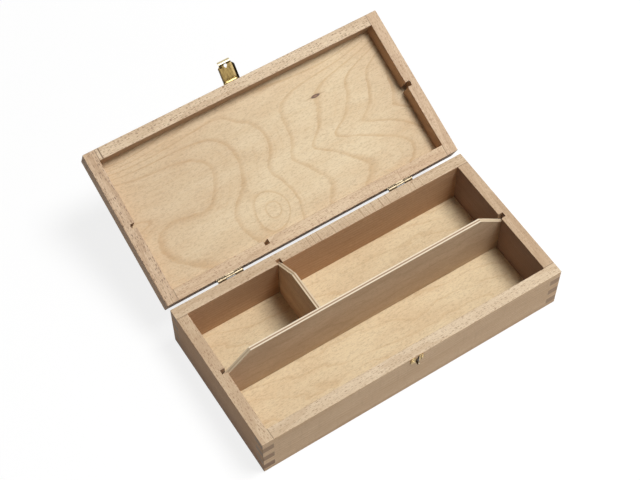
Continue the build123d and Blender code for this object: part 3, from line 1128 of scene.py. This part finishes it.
@dataclass(frozen=True, kw_only=True)
class Plywood(Finish):
    """Unvarnished three-layer plywood.

    The pairs in capitals say at which values of an effect its stain starts and is full.

    Attributes:
        pale: The lightest part of the face.
        cloud: The darker clouds of the face.
        line: The contour lines.
        pore: The short dark pores.
        skin: The outer layers at a cut edge.
        core: The middle layer at a cut edge.
        slant: An edge cut across the grain.
        slant_share: How much of its colour shows there.
        thickness: Of the sheet, in millimetres.
        line_width: As a share of the way to the next line.
        line_share: How strongly the lines show.
        fibre_share: How strongly the fibres show.
        speck_share: How strongly the specks show.
        pore_share: How strongly the pores show.
        glue_share: How strongly the glue lines show at a cut edge.
        fuzz_share: How strongly the torn fibres show there.
        smudge_share: How strongly the smudges show.
        worn_share: How much of the skin's colour the rubbed edges show.
        core_share: The middle layer's share of the thickness.
        matt: The roughness between the fibres and on them.
        polish: How much smoother the rubbed edges are.
        drift: How the face darkens from place to place, with painted shade beside the right rail, if it does.
    """

    pale: Colour
    cloud: Colour
    line: Colour = paint(192, 156, 108)
    pore: Colour = paint(152, 122, 90)
    skin: Colour = paint(224, 205, 174)
    core: Colour = paint(162, 130, 100)
    slant: Colour = paint(206, 186, 156)
    slant_share: float = 0.7
    thickness: float = 3.0
    line_width: float = 0.22
    line_share: float = 0.60
    fibre_share: float = 0.20
    speck_share: float = 0.43
    pore_share: float = 0.55
    glue_share: float = 0.45
    fuzz_share: float = 0.35
    smudge_share: float = 0.10
    worn_share: float = 0.25
    core_share: float = 0.30
    matt: Pair = (0.52, 0.70)
    polish: float = 0.1
    drift: DriftAndRailShade | None = None
    wear_reach: float = 0.0006
    grit: float = 0.9
    relief: float = 0.00008
    relief_share: float = 0.6
    TONE, FIBRES, SPECKS, FUZZ = (0.32, 0.70), (0.45, 0.80), (0.44, 0.70), (0.45, 0.85)
    SLANTED = (0.15, 0.35)  # cosines at which an edge begins to count as cut across the grain, and does

    def face(self, graph: Graph, veneer: Any) -> Socket:
        """The colour of the sheet's faces.

        Args:
            graph: The material's node tree.
            veneer: The outputs of its peeled veneer.

        Returns:
            The colour.
        """
        colour = graph.mix(graph.span(veneer["Tone"], *self.TONE), self.pale, self.cloud)
        colour = graph.tint(colour, veneer["Lines"], self.line_share, self.line)
        colour = graph.tint(colour, graph.span(veneer["Fibres"], *self.FIBRES), self.fibre_share, self.line)
        colour = graph.tint(colour, graph.span(veneer["Specks"], *self.SPECKS), self.speck_share, self.pore)
        return graph.tint(colour, veneer["Pores"], self.pore_share, self.pore)

    def edge(self, graph: Graph, board: Board, stack: Any) -> Socket:
        """The colour of the sheet's cut edges.

        Args:
            graph: The material's node tree.
            board: Which sheet.
            stack: The outputs of its ply stack.

        Returns:
            The colour.
        """
        colour = graph.mix(stack["Core"], self.skin, self.core)
        colour = graph.tint(colour, stack["Glue"], self.glue_share, self.pore)
        colour = graph.tint(colour, graph.span(stack["Fuzz"], *self.FUZZ), self.fuzz_share, self.pore)
        return graph.tint(colour, board.facing(graph, Side.ENDS, self.SLANTED), self.slant_share, self.slant)

    def dress(self, board: Board, figure: Figure) -> None:
        """Finishes one sheet.

        Args:
            board: Which sheet, and which way it lies.
            figure: The figure of its faces.
        """
        material, graph, shader = self.start("plywood " + board.node.replace("_", " "))
        place = board.place(graph)
        veneer = PeeledVeneer.place(graph, place, figure.level(graph, place), self.line_width)
        worn = self.worn(graph, place)
        marks = HandlingMarks.place(graph, place)
        stack = PlyStack.place(graph, board.place(graph, solid=False), self.thickness, self.core_share)
        face = self.face(graph, veneer)
        if figure.knot is not None:
            face = figure.knot.colour(graph, place, face, self.line, self.pore)
        # The drift's right-hand end is painted shade beside the lid's right rail.
        if self.drift is not None:
            face = self.drift.colour(graph, place, face)
        colour = graph.mix(board.facing(graph, Side.BROAD), self.edge(graph, board, stack), face)
        colour = graph.tint(colour, marks["Smudge"], self.smudge_share, self.pore)
        colour = graph.tint(colour, worn, self.worn_share, self.skin)
        rough = graph.total(graph.span(veneer["Fibres"], 0.2, 0.8, *self.matt), (worn, -self.polish))
        relief = graph.total(0.0, (veneer["Fibres"], 0.5), (veneer["Pores"], -0.6), (stack["Glue"], -0.3))
        self.surface(graph, shader, colour, rough, relief)
        self.wear(board.node, material)


@dataclass(frozen=True)
class Patch:
    """A part of a brass piece that has a colour of its own.

    Attributes:
        where: Takes the graph and the coordinates in millimetres, and gives the part's mask.
        colour: The part's colour.
        share: How much of that colour shows.
    """

    where: Callable[[Graph, Feed], Socket]
    colour: Colour
    share: float = 1.0


@dataclass(frozen=True, kw_only=True)
class Brass(Finish):
    """Pressed brass.

    Attributes:
        bright: Rubbed metal.
        dull: Metal that has begun to darken.
        brown: Tarnish in pits and hollows.
        edge: The colour along the edges: rubbed metal where it is pale, painted dark reflection where it is
            dark.
        edge_share: How much of the edge's colour shows.
        tarnish_share: How dull the tarnished metal is.
        pit_share: How strongly the pits show.
        roughness: Of the rubbed metal.
        tarnish_roughness: How much rougher tarnish makes it.
        scratch_roughness: How much rougher scratches make it.
    """

    bright: Colour = paint(214, 192, 138)
    dull: Colour = paint(176, 152, 100)
    brown: Colour = paint(84, 66, 40)
    edge: Colour = paint(226, 208, 160)
    edge_share: float = 0.5
    tarnish_share: float = 0.75
    pit_share: float = 0.5
    roughness: float = 0.36
    tarnish_roughness: float = 0.16
    scratch_roughness: float = 0.10
    wear_reach: float = 0.0003
    grit: float = 0.5
    relief: float = 0.00002
    relief_share: float = 0.5

    def dress(self, title: str, nodes: tuple[str, ...], patches: tuple[Patch, ...] = ()) -> None:
        """Finishes brass pieces.

        Args:
            title: The material's name.
            nodes: Which pieces it is put on.
            patches: The parts that have a colour of their own, the last on top.
        """
        material, graph, shader = self.start(title)
        place = graph.millimetres()
        wear = MetalWear.place(graph, place)
        colour = graph.tint(self.bright, wear["Tarnish"], self.tarnish_share, self.dull)
        # The edge colour is rubbed metal when pale, and painted dark reflection when dark.
        colour = graph.tint(colour, self.worn(graph, place), self.edge_share, self.edge)
        for patch in patches:
            colour = graph.tint(colour, patch.where(graph, place), patch.share, patch.colour)
        colour = graph.tint(colour, wear["Pits"], self.pit_share, self.brown)
        rough = graph.total(self.roughness, (wear["Tarnish"], self.tarnish_roughness),
                            (wear["Scratches"], self.scratch_roughness))
        relief = graph.total(1.0, (wear["Scratches"], -0.3), (wear["Pits"], -0.7))
        self.surface(graph, shader, colour, rough, relief)
        shader.inputs["Metallic"].default_value = 1.0
        for node in nodes:
            self.wear(node, material)


Boards = tuple[tuple[Board, BareBeech], ...]
Sheets = tuple[tuple[Board, Plywood, Figure], ...]


@dataclass(frozen=True)
class Woodwork:
    """Boards and plywood sheets that move as one.

    Attributes:
        boards: Each solid board, with the wood that it is cut from.
        sheets: Each plywood sheet, with its finish and its figure.
    """

    boards: Boards = ()
    sheets: Sheets = ()

    def dress(self) -> None:
        """Finishes every board and sheet."""
        for board, wood in self.boards:
            wood.dress(board)
        for board, plywood, figure in self.sheets:
            plywood.dress(board, figure)


@dataclass(frozen=True)
class Tray(Woodwork):
    """The open box that stands on the table."""

    boards: Boards = (
        (Board("base_front_wall", Lay.LONG_WALL, heart=90.0, inside=-1.0, seams=(-116.0,)), BareBeech()),
        (Board("base_back_wall", Lay.LONG_WALL, heart=72.0, start=900.0, inside=1.0,
               barred=(-24.0, 92.0)), MELLOW_BEECH),
        (Board("base_left_wall", Lay.SIDE_WALL, heart=78.0, start=1800.0, inside=1.0,
               seams=(52.8,)), LEFT_BEECH),
        (Board("base_right_wall", Lay.SIDE_WALL, heart=96.0, start=2700.0, inside=-1.0,
               seams=(-52.8, 52.8)), SHADED_BEECH),
    )
    sheets: Sheets = (
        (Board("base_bottom_panel", Lay.FLAT, start=400.0),
         Plywood(pale=paint(227, 207, 169), cloud=paint(219, 195, 156), line_share=0.34),
         Figure(slope=0.012, rise=0.075, offset=0.4, waver=3.0)),
    )


LID_FIGURE = Figure(slope=0.045, rise=0.0, offset=3.05, knot=Knot(53.5, -26.4, 3.7, 1.3), hills=(
    Hill(96.0, -60.0, 66.0, 21.0, -5.6),
    Hill(-112.0, -58.0, 70.0, 19.0, 7.8),
    Hill(-118.0, 22.0, 62.0, 60.0, 2.7),
    Hill(-60.0, -12.0, 36.0, 17.0, -0.75),
    Hill(-17.5, 34.5, 12.5, 12.5, -1.9),
    Hill(-38.0, 32.0, 12.0, 22.0, 0.5),
    Hill(60.0, 7.0, 52.0, 7.0, 0.62),
    Hill(72.0, -18.0, 34.0, 13.0, -0.5),
    Hill(98.0, 40.0, 44.0, 22.0, -1.7),
    Hill(34.0, 34.0, 26.0, 14.0, -0.35),
    Hill(-60.0, 9.0, 28.0, 12.0, -0.42),
    Hill(-118.0, 1.5, 29.0, 4.5, -0.85),
    Hill(-122.0, -22.0, 40.0, 17.0, 0.42),
    Hill(-88.0, 21.0, 13.0, 11.0, 0.22),
    Hill(2.0, -15.0, 13.0, 15.0, -0.3),
    Hill(-6.0, -41.0, 11.0, 8.0, 0.32),
))


@dataclass(frozen=True)
class Lid(Woodwork):
    """The frame and the panel that swing on the hinges."""

    boards: Boards = (
        (Board("lid_front_rail", Lay.LONG_WALL, Carrier.LID, heart=86.0, start=3600.0, inside=-1.0,
               seams=(-116.0, -113.0, 116.0)), LID_FRONT_BEECH),
        (Board("lid_back_rail", Lay.LONG_WALL, Carrier.LID, heart=70.0, start=4500.0, inside=1.0,
               barred=(20.0, 84.0), seams=(-116.0, 116.0)), RED_BEECH),
        (Board("lid_left_rail", Lay.SIDE_WALL, Carrier.LID, heart=70.0, start=5400.0,
               inside=1.0), FLECKED_BEECH),
        (Board("lid_right_rail", Lay.SIDE_WALL, Carrier.LID, heart=100.0, start=6300.0,
               inside=-1.0), WARM_BEECH),
    )
    sheets: Sheets = (
        (Board("lid_panel", Lay.FLAT, Carrier.LID),
         Plywood(pale=paint(223, 202, 165), cloud=paint(216, 191, 152), drift=DriftAndRailShade()), LID_FIGURE),
    )


DIVIDER_FIGURE = Figure(slope=0.006, rise=0.08, offset=0.2, waver=2.4)


@dataclass(frozen=True)
class Insert(Woodwork):
    """The glued T of two dividers that lifts out."""

    sheets: Sheets = (
        (Board("long_divider", Lay.LONG_WALL, start=700.0),
         Plywood(pale=paint(205, 180, 151), cloud=paint(191, 164, 135), line=paint(168, 138, 108),
                 skin=paint(242, 226, 200), slant=paint(216, 194, 160), thickness=3.1, line_share=0.35),
         DIVIDER_FIGURE),
        (Board("short_divider", Lay.SIDE_WALL, start=1300.0),
         Plywood(pale=paint(232, 203, 168), cloud=paint(220, 188, 152), line=paint(188, 152, 118),
                 slant_share=0.15, thickness=3.1, line_share=0.35),
         DIVIDER_FIGURE),
    )


@dataclass(frozen=True)
class Hinges:
    """Two brass butt hinges with their screws.

    Attributes:
        brass: The metal.
        highlight_way: The way that the painted highlight line along each barrel faces; the rest of each
            barrel gets painted dark reflection.
        highlight_limits: The cosines at which that painted highlight line starts and is full.
    """

    brass: Brass = Brass(
        bright=paint(190, 175, 147), dull=paint(172, 156, 126), edge_share=0.0, roughness=0.52,
    )
    highlight_way: Triple = (0.0, -0.64, 0.768)
    highlight_limits: Pair = (0.84, 0.96)

    def painted_dark_reflection(self, graph: Graph, place: Feed) -> Socket:
        """Painted dark reflection: everything but the painted highlight line."""
        return graph.minus(1.0, graph.facing(self.highlight_way, self.highlight_limits))

    def dress(self) -> None:
        """Finishes the leaves, pins and screws."""
        sides = ("left", "right")
        leaves = tuple(f"{side}_hinge_{half}_leaf" for side in sides for half in ("base", "lid"))
        pins = tuple(f"{side}_hinge_pin" for side in sides)
        nodes = leaves + pins + ("hinge_base_screws", "hinge_lid_screws")
        # The barrels get painted dark reflection, except for a painted highlight line along the top of each.
        self.brass.dress("brass hinges", nodes, (Patch(self.painted_dark_reflection, paint(66, 48, 32), 0.92),))


@dataclass(frozen=True)
class Catch:
    """The hasp on the lid and its keeper on the front wall, in millimetres.

    Each pair of limits says where a mask is nought and where it is one.

    Attributes:
        flap_inside: The way that the inside of the flap faces.
        flap_along: The way from the flap's pin to its tip.
        flap_sheet: From the pin to the flap's inner face and to its outer one.
        flap_root: Where the flat of the flap starts, from the pin.
        root_half: Half of the width between the flanges.
        root_inset: How far the root's two faces stand back from the flap's own.
        root_overlap: How far the root runs into the flat of the flap.
        barrel_half: Half of the length of the plate's barrel, with its play.
        hollows: From the pin's middle to the root at the barrel and beside it.
        hollow_steps: How many flats make up the hollow.
        inside_limits: The cosines at which the flap's inside starts to show and fully does.
        streak_pattern: The streaks along the flap's inside.
        black_flange: Across the flap, the limits of the painted dark reflection on the right-hand flange.
        dark_flange: Across the flap, the limits of the painted shade along the left-hand flange's edge.
        strip_left: Across the flap, the left-hand limits of the painted highlight strip.
        strip_right: Its right-hand limits.
        lip_start: From the pin to the painted shade line where the lip starts to curl.
        line_limits: From the middle of that line, its limits.
        dimple: Across and along the flap to the left-hand dimple's middle.
        dimple_limits: The squared distances from there that are the limits of its painted shade.
        lip_limits: From the painted shade line, the limits of the lip's painted highlight.
        lip_sides: From the flap's middle, its limits on either side.
        lip_rim: From the dark line, its limits at the rim.
        barrel_limits: From the flap's middle, the limits of the barrel's tarnished end.
        barrel_reach: From the pin's middle, its limits all round.
        keeper_middle: Where along the front wall the keeper's middle is.
        knob_middle: Where along it the middle of the knob's painted dark reflection and shade is.
        knob_limits: From there, the limits of that painted dark.
        tongue_half: From the keeper's middle to the tongue's rims.
        rim_limits: From each rim, the limits of its painted highlight strip.
        nail_hollow: Where along the wall the painted shade in the hollow beside the right-hand nail is.
        hollow_limits: From there, its limits.
        tip_limits: Forward of the box's middle, the limits of the painted highlight on the knob's tip.
        tip_sides: Along the wall, its limits.
    """

    flap_inside: Triple = (0.0, -0.779, 0.627)
    flap_along: Triple = (0.0, 0.627, 0.779)
    flap_sheet: Pair = (0.3, 0.9)
    flap_root: float = 1.65
    root_half: float = 5.8
    root_inset: float = 0.02
    root_overlap: float = 0.05
    barrel_half: float = 4.87
    hollows: Pair = (1.36, 0.62)
    hollow_steps: int = 8
    inside_limits: Pair = (0.30, 0.80)
    streak_pattern: Pattern = Pattern((0.9, 0.16, 1.0), 3.0, 0.7, (0.45, 0.68))
    black_flange: Pair = (4.95, 5.45)
    dark_flange: Pair = (-5.7, -6.0)
    strip_left: Pair = (3.3, 3.9)
    strip_right: Pair = (5.4, 5.0)
    lip_start: float = 13.6
    line_limits: Pair = (0.85, 0.4)
    dimple: Triple = (-4.1, 12.2, 0.0)
    dimple_limits: Pair = (1.5, 0.6)
    lip_limits: Pair = (0.2, 0.5)
    lip_sides: Pair = (4.85, 4.6)
    lip_rim: Pair = (2.35, 2.1)
    barrel_limits: Pair = (3.5, 4.0)
    barrel_reach: Pair = (1.9, 1.5)
    keeper_middle: float = -0.1
    knob_middle: float = 0.2
    knob_limits: Pair = (1.6, 1.2)
    tongue_half: float = 2.1
    rim_limits: Pair = (0.6, 0.3)
    nail_hollow: float = 3.2
    hollow_limits: Pair = (0.6, 0.2)
    tip_limits: Pair = (-63.95, -64.25)
    tip_sides: Pair = (-0.4, 0.0)

    def pin(self) -> Vector:
        """The middle of the flap's pin."""
        return Vector(joint_called("hasp_hinge")["pos_m"]) * MM_PER_M

    def root_outline(self, hollow: float) -> list[Pair]:
        """The outline of the flap's root, hollowed round the pin's middle.

        Args:
            hollow: The radius of the hollow.

        Returns:
            Its corners, along the flap and outward from the pin.
        """
        near, far = self.flap_sheet[0] + self.root_inset, self.flap_sheet[1] - self.root_inset
        first, last = math.asin(near / hollow), math.asin(min(far / hollow, 1.0))
        steps = [first + (last - first) * step / self.hollow_steps for step in range(self.hollow_steps + 1)]
        outline = [(hollow * math.cos(turn), hollow * math.sin(turn)) for turn in steps]
        end = self.flap_root + self.root_overlap
        return outline + [(end, outline[-1][1]), (end, near)]

    def root_block(self, shape: bmesh.types.BMesh, left: float, right: float, hollow: float) -> None:
        """Adds one block of the flap's root.

        Args:
            shape: What the block is added to.
            left: Its left end, from the flap's middle.
            right: Its right end.
            hollow: The radius of its hollow.
        """
        outline = self.root_outline(hollow)
        along, outward = Vector(self.flap_along), -Vector(self.flap_inside)
        ends = []
        for side in (left, right):
            start = self.pin() + Vector((side, 0.0, 0.0))
            ends.append([shape.verts.new((start + along * reach + outward * depth) / MM_PER_M)
                         for reach, depth in outline])
        shape.faces.new(ends[0])
        shape.faces.new(ends[1][::-1])
        for corner in range(len(outline)):
            before = corner - 1
            shape.faces.new((ends[0][corner], ends[0][before], ends[1][before], ends[1][corner]))

    def root(self) -> bpy.types.Object:
        """The root of the flap, hollowed to run round the barrel.

        Returns:
            The new piece, which rides on the flap's body.
        """
        shape = bmesh.new()
        barrel, beside = self.hollows
        self.root_block(shape, -self.root_half, -self.barrel_half, beside)
        self.root_block(shape, -self.barrel_half, self.barrel_half, barrel)
        self.root_block(shape, self.barrel_half, self.root_half, beside)
        bmesh.ops.recalc_face_normals(shape, faces=shape.faces)
        mesh = bpy.data.meshes.new("hasp_flap_root")
        shape.to_mesh(mesh)
        shape.free()
        piece = bpy.data.objects.new("hasp_flap_root", mesh)
        bpy.context.scene.collection.objects.link(piece)
        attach(piece, "hasp_flap")
        return piece

    def on_flap(self, graph: Graph, place: Feed) -> Socket:
        """Coordinates on the flap.

        Args:
            graph: The material's node tree.
            place: Coordinates in millimetres.

        Returns:
            X across the flap from its middle, and Y from its pin towards its tip.
        """
        away = graph.vector("SUBTRACT", place, tuple(self.pin()))
        feeds = {0: graph.axis(away, "X"), 1: graph.dot(away, self.flap_along)}
        return graph.node("ShaderNodeCombineXYZ", feeds).outputs[0]

    def across(self, graph: Graph, place: Feed) -> Socket:
        """How far across the flap it is from its middle."""
        return graph.axis(self.on_flap(graph, place), "X")

    def inside(self, graph: Graph, place: Feed) -> Socket:
        """Where the faces that look the flap's inside way show."""
        return graph.facing(self.flap_inside, self.inside_limits)

    def streaks(self, graph: Graph, place: Feed) -> Socket:
        """Dark streaks along the flap's inside."""
        streaks = graph.mask(self.on_flap(graph, place), self.streak_pattern)
        return graph.times(streaks, self.inside(graph, place))

    def right_flange_dark_reflection(self, graph: Graph, place: Feed) -> Socket:
        """The painted dark reflection on the right-hand flange."""
        return graph.span(self.across(graph, place), *self.black_flange)

    def left_flange_shade(self, graph: Graph, place: Feed) -> Socket:
        """The painted shade along the left-hand flange's edge."""
        return graph.span(self.across(graph, place), *self.dark_flange)

    def right_strip_highlight(self, graph: Graph, place: Feed) -> Socket:
        """The painted highlight strip beside the right-hand flange.

        Args:
            graph: The material's node tree.
            place: Coordinates in millimetres.

        Returns:
            The mask.
        """
        across = self.across(graph, place)
        strip = graph.times(graph.span(across, *self.strip_left), graph.span(across, *self.strip_right))
        return graph.times(strip, self.inside(graph, place))

    def lip_crease_shade(self, graph: Graph, place: Feed) -> Socket:
        """The painted shade line where the lip starts, and the painted shade of the left-hand dimple.

        Args:
            graph: The material's node tree.
            place: Coordinates in millimetres.

        Returns:
            The mask.
        """
        at = self.on_flap(graph, place)
        line = graph.span(graph.off(graph.axis(at, "Y"), self.lip_start), *self.line_limits)
        away = graph.vector("SUBTRACT", at, self.dimple)
        return graph.most(line, graph.span(graph.dot(away, away), *self.dimple_limits))

    def lip(self, graph: Graph, place: Feed) -> Socket:
        """The painted highlight on the rolled lip, except at its rim.

        Args:
            graph: The material's node tree.
            place: Coordinates in millimetres.

        Returns:
            The mask.
        """
        at = self.on_flap(graph, place)
        along = graph.minus(graph.axis(at, "Y"), self.lip_start)
        sides = graph.span(graph.maths("ABSOLUTE", graph.axis(at, "X")), *self.lip_sides)
        rolled = graph.times(graph.span(along, *self.lip_limits), graph.span(along, *self.lip_rim))
        return graph.times(rolled, sides)

    def barrel_end(self, graph: Graph, place: Feed) -> Socket:
        """The tarnished right-hand end of the plate's barrel and of the pin.

        Args:
            graph: The material's node tree.
            place: Coordinates in millimetres.

        Returns:
            The mask.
        """
        away = graph.vector("SUBTRACT", place, tuple(self.pin()))
        from_pin = graph.vector("LENGTH", graph.stretch(away, (0.0, 1.0, 1.0)))
        end = graph.span(graph.axis(away, "X"), *self.barrel_limits)
        return graph.times(end, graph.span(from_pin, *self.barrel_reach))

    def knob(self, graph: Graph, place: Feed) -> Socket:
        """Painted dark reflection and shade on the keeper's knob and the middle of the tongue behind it."""
        return graph.span(graph.off(graph.axis(place, "X"), self.knob_middle), *self.knob_limits)

    def nail_shade(self, graph: Graph, place: Feed) -> Socket:
        """Painted shade in the hollow beside the keeper's right-hand nail."""
        return graph.span(graph.off(graph.axis(place, "X"), self.nail_hollow), *self.hollow_limits)

    def tongue_rim_highlights(self, graph: Graph, place: Feed) -> Socket:
        """Painted highlights along the tongue's rims, on either side of the knob."""
        away = graph.off(graph.axis(place, "X"), self.keeper_middle)
        return graph.span(graph.off(away, self.tongue_half), *self.rim_limits)

    def tip_highlight(self, graph: Graph, place: Feed) -> Socket:
        """The painted highlight on the right of the knob's end."""
        tip = graph.span(graph.axis(place, "Y"), *self.tip_limits)
        return graph.times(tip, graph.span(graph.axis(place, "X"), *self.tip_sides))

    def dress(self) -> None:
        """Finishes the hasp, its pin, the keeper and their nails."""
        # The flap's dark edges are painted dark reflection.
        shade_edged_brass = Brass(edge=paint(58, 42, 26), edge_share=0.85)
        shade_edged_brass.dress("brass hasp flap", ("hasp_flap",), (
            Patch(self.inside, paint(132, 112, 70)),
            Patch(self.streaks, paint(78, 60, 34), 0.7),
            # painted highlight strip beside the right-hand flange
            Patch(self.right_strip_highlight, paint(170, 148, 104), 0.7),
            # painted highlight on the rolled lip
            Patch(self.lip, paint(186, 178, 150), 0.9),
            # painted shade along the left-hand flange's edge
            Patch(self.left_flange_shade, paint(60, 46, 26), 0.85),
            # painted dark reflection on the right-hand flange
            Patch(self.right_flange_dark_reflection, paint(24, 18, 12), 0.95),
            # painted shade at the lip's crease and at the left-hand dimple
            Patch(self.lip_crease_shade, paint(40, 28, 16), 0.9),
        ))
        root = self.root()
        root.data.materials.append(frame["nodes"]["hasp_flap"].data.materials[0])
        log.info("%s: %s", root.name, root.data.materials[0].name)
        plate = Brass(bright=paint(212, 194, 138), dull=paint(188, 170, 116), edge_share=0.2, roughness=0.5)
        plate.dress("brass hasp plate", ("hasp_plate", "hasp_pin", "hasp_nails"), (
            Patch(self.barrel_end, paint(74, 54, 30), 0.85),
        ))
        # The keeper's dark edges are painted dark reflection.
        browned_shade_edged_brass = Brass(
            bright=paint(192, 168, 122), dull=paint(160, 134, 92), edge=paint(58, 42, 26), edge_share=0.85,
        )
        browned_shade_edged_brass.dress("brass keeper", ("keeper_plate", "keeper_nails"), (
            # painted shade beside the right-hand nail
            Patch(self.nail_shade, paint(70, 48, 30), 0.5),
            # painted highlights on the tongue's rims
            Patch(self.tongue_rim_highlights, paint(214, 190, 136), 0.6),
            # painted dark reflection and shade on the knob
            Patch(self.knob, paint(52, 36, 24), 0.95),
            # painted highlight on the knob's tip
            Patch(self.tip_highlight, paint(214, 200, 168), 0.9),
        ))


@dataclass(frozen=True)
class Lamp:
    """A square soft lamp that shines on the box.

    Attributes:
        title: Its name.
        towards: The way from the box to the lamp.
        distance: How far away it is, in metres.
        side: Its side, in metres.
        watts: Its power.
    """

    title: str
    towards: Triple
    distance: float
    side: float
    watts: float

    def hang(self) -> None:
        """Makes the lamp and points it at the box."""
        data = bpy.data.lights.new(self.title, "AREA")
        data.shape = "SQUARE"
        data.size = self.side
        data.energy = self.watts
        lamp = bpy.data.objects.new(self.title, data)
        towards = Vector(self.towards).normalized()
        lamp.location = towards * self.distance
        lamp.rotation_euler = towards.to_track_quat("Z", "Y").to_euler()
        bpy.context.scene.collection.objects.link(lamp)


class Studio:
    """A pale floor, two soft lamps, an even sky and the camera.

    Attributes:
        camera_at: Where the camera is, in metres.
        camera_turn: How it is turned about X, Y and Z, in degrees.
        lens: Its focal length, in millimetres.
        sensor: The width of its sensor, in millimetres.
        clip: How near and how far it sees, in metres.
        overhead: The lamp that lights what faces up.
        front: The weaker lamp that lights the front.
        sky: How bright the even light from all round is.
        floor_side: The floor's side, in metres.
        floor_grey: How much light the floor gives back.
        floor_roughness: How matt it is.
        floor_gloss: How strongly it reflects.
        floor_white: How much of what the camera sees of the floor is plain white.
        floor_glow: How bright that white is.
    """

    camera_at: Triple = (-0.31629, -0.43615, 0.94631)
    camera_turn: Triple = (32.700, 0.197, -32.726)
    lens: float = 83.80
    sensor: float = 36.0
    clip: Pair = (0.01, 50.0)
    overhead: Lamp = Lamp("overhead lamp", (0.29, -0.14, 0.94), 2.4, 0.9, 53.0)
    front: Lamp = Lamp("front lamp", (0.42, -0.84, 0.34), 1.6, 0.9, 5.0)
    sky: float = 0.05
    floor_side: float = 8.0
    floor_grey: float = 0.42
    floor_roughness: float = 0.9
    floor_gloss: float = 0.1
    floor_white: float = 0.55
    floor_glow: float = 1.52

    def camera(self) -> None:
        """Makes the camera."""
        data = bpy.data.cameras.new("camera")
        data.sensor_width = self.sensor
        data.lens = self.lens
        data.clip_start, data.clip_end = self.clip
        camera = bpy.data.objects.new("camera", data)
        camera.location = self.camera_at
        camera.rotation_euler = tuple(math.radians(turn) for turn in self.camera_turn)
        bpy.context.scene.collection.objects.link(camera)
        bpy.context.scene.camera = camera

    def seen(self, graph: Graph) -> Socket:
        """Picks the rays that show the background: from the camera, in a reflection or through glass.

        Args:
            graph: The node tree of the sky or of the floor's material.

        Returns:
            One for those rays and nought for the others.
        """
        paths = graph.node("ShaderNodeLightPath").outputs
        first = graph.most(paths["Is Camera Ray"], paths["Is Glossy Ray"])
        return graph.most(first, paths["Is Transmission Ray"])

    def world(self) -> None:
        """Makes the sky, which is white to look at and lights the box evenly."""
        world = bpy.data.worlds.new("sky")
        world.use_nodes = True
        graph = Graph(world.node_tree)
        background = world.node_tree.nodes["Background"]
        background.inputs["Color"].default_value = (1.0, 1.0, 1.0, 1.0)
        graph.feed(background.inputs["Strength"], graph.span(self.seen(graph), 0.0, 1.0, self.sky, 1.0))
        bpy.context.scene.world = world

    def floor(self) -> None:
        """Makes the floor, which looks white and keeps the box's shadow."""
        half = self.floor_side / 2.0
        mesh = bpy.data.meshes.new("floor")
        corners = [(-half, -half, 0.0), (half, -half, 0.0), (half, half, 0.0), (-half, half, 0.0)]
        mesh.from_pydata(corners, [], [(0, 1, 2, 3)])
        floor = bpy.data.objects.new("floor", mesh)
        bpy.context.scene.collection.objects.link(floor)
        material, graph, shader = Finish.start("pale floor")
        shader.inputs["Base Color"].default_value = (self.floor_grey,) * 3 + (1.0,)
        shader.inputs["Roughness"].default_value = self.floor_roughness
        shader.inputs["Specular IOR Level"].default_value = self.floor_gloss
        white = graph.node("ShaderNodeEmission", {"Strength": self.floor_glow})
        share = graph.times(self.seen(graph), self.floor_white)
        both = graph.node("ShaderNodeMixShader", {0: share, 1: shader.outputs[0], 2: white.outputs[0]})
        graph.feed(material.node_tree.nodes["Material Output"].inputs["Surface"], both.outputs[0])
        mesh.materials.append(material)

    def build(self) -> None:
        """Makes the whole studio."""
        self.camera()
        self.world()
        self.overhead.hang()
        self.front.hang()
        self.floor()
        bpy.context.scene.view_settings.view_transform = "Standard"


def main() -> None:
    """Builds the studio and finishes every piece."""
    logging.basicConfig(level=logging.INFO, format="%(name)s: %(message)s")
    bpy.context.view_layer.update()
    Studio().build()
    for assembly in (Tray(), Lid(), Insert(), Hinges(), Catch()):
        assembly.dress()


if __name__ == "__main__":
    main()
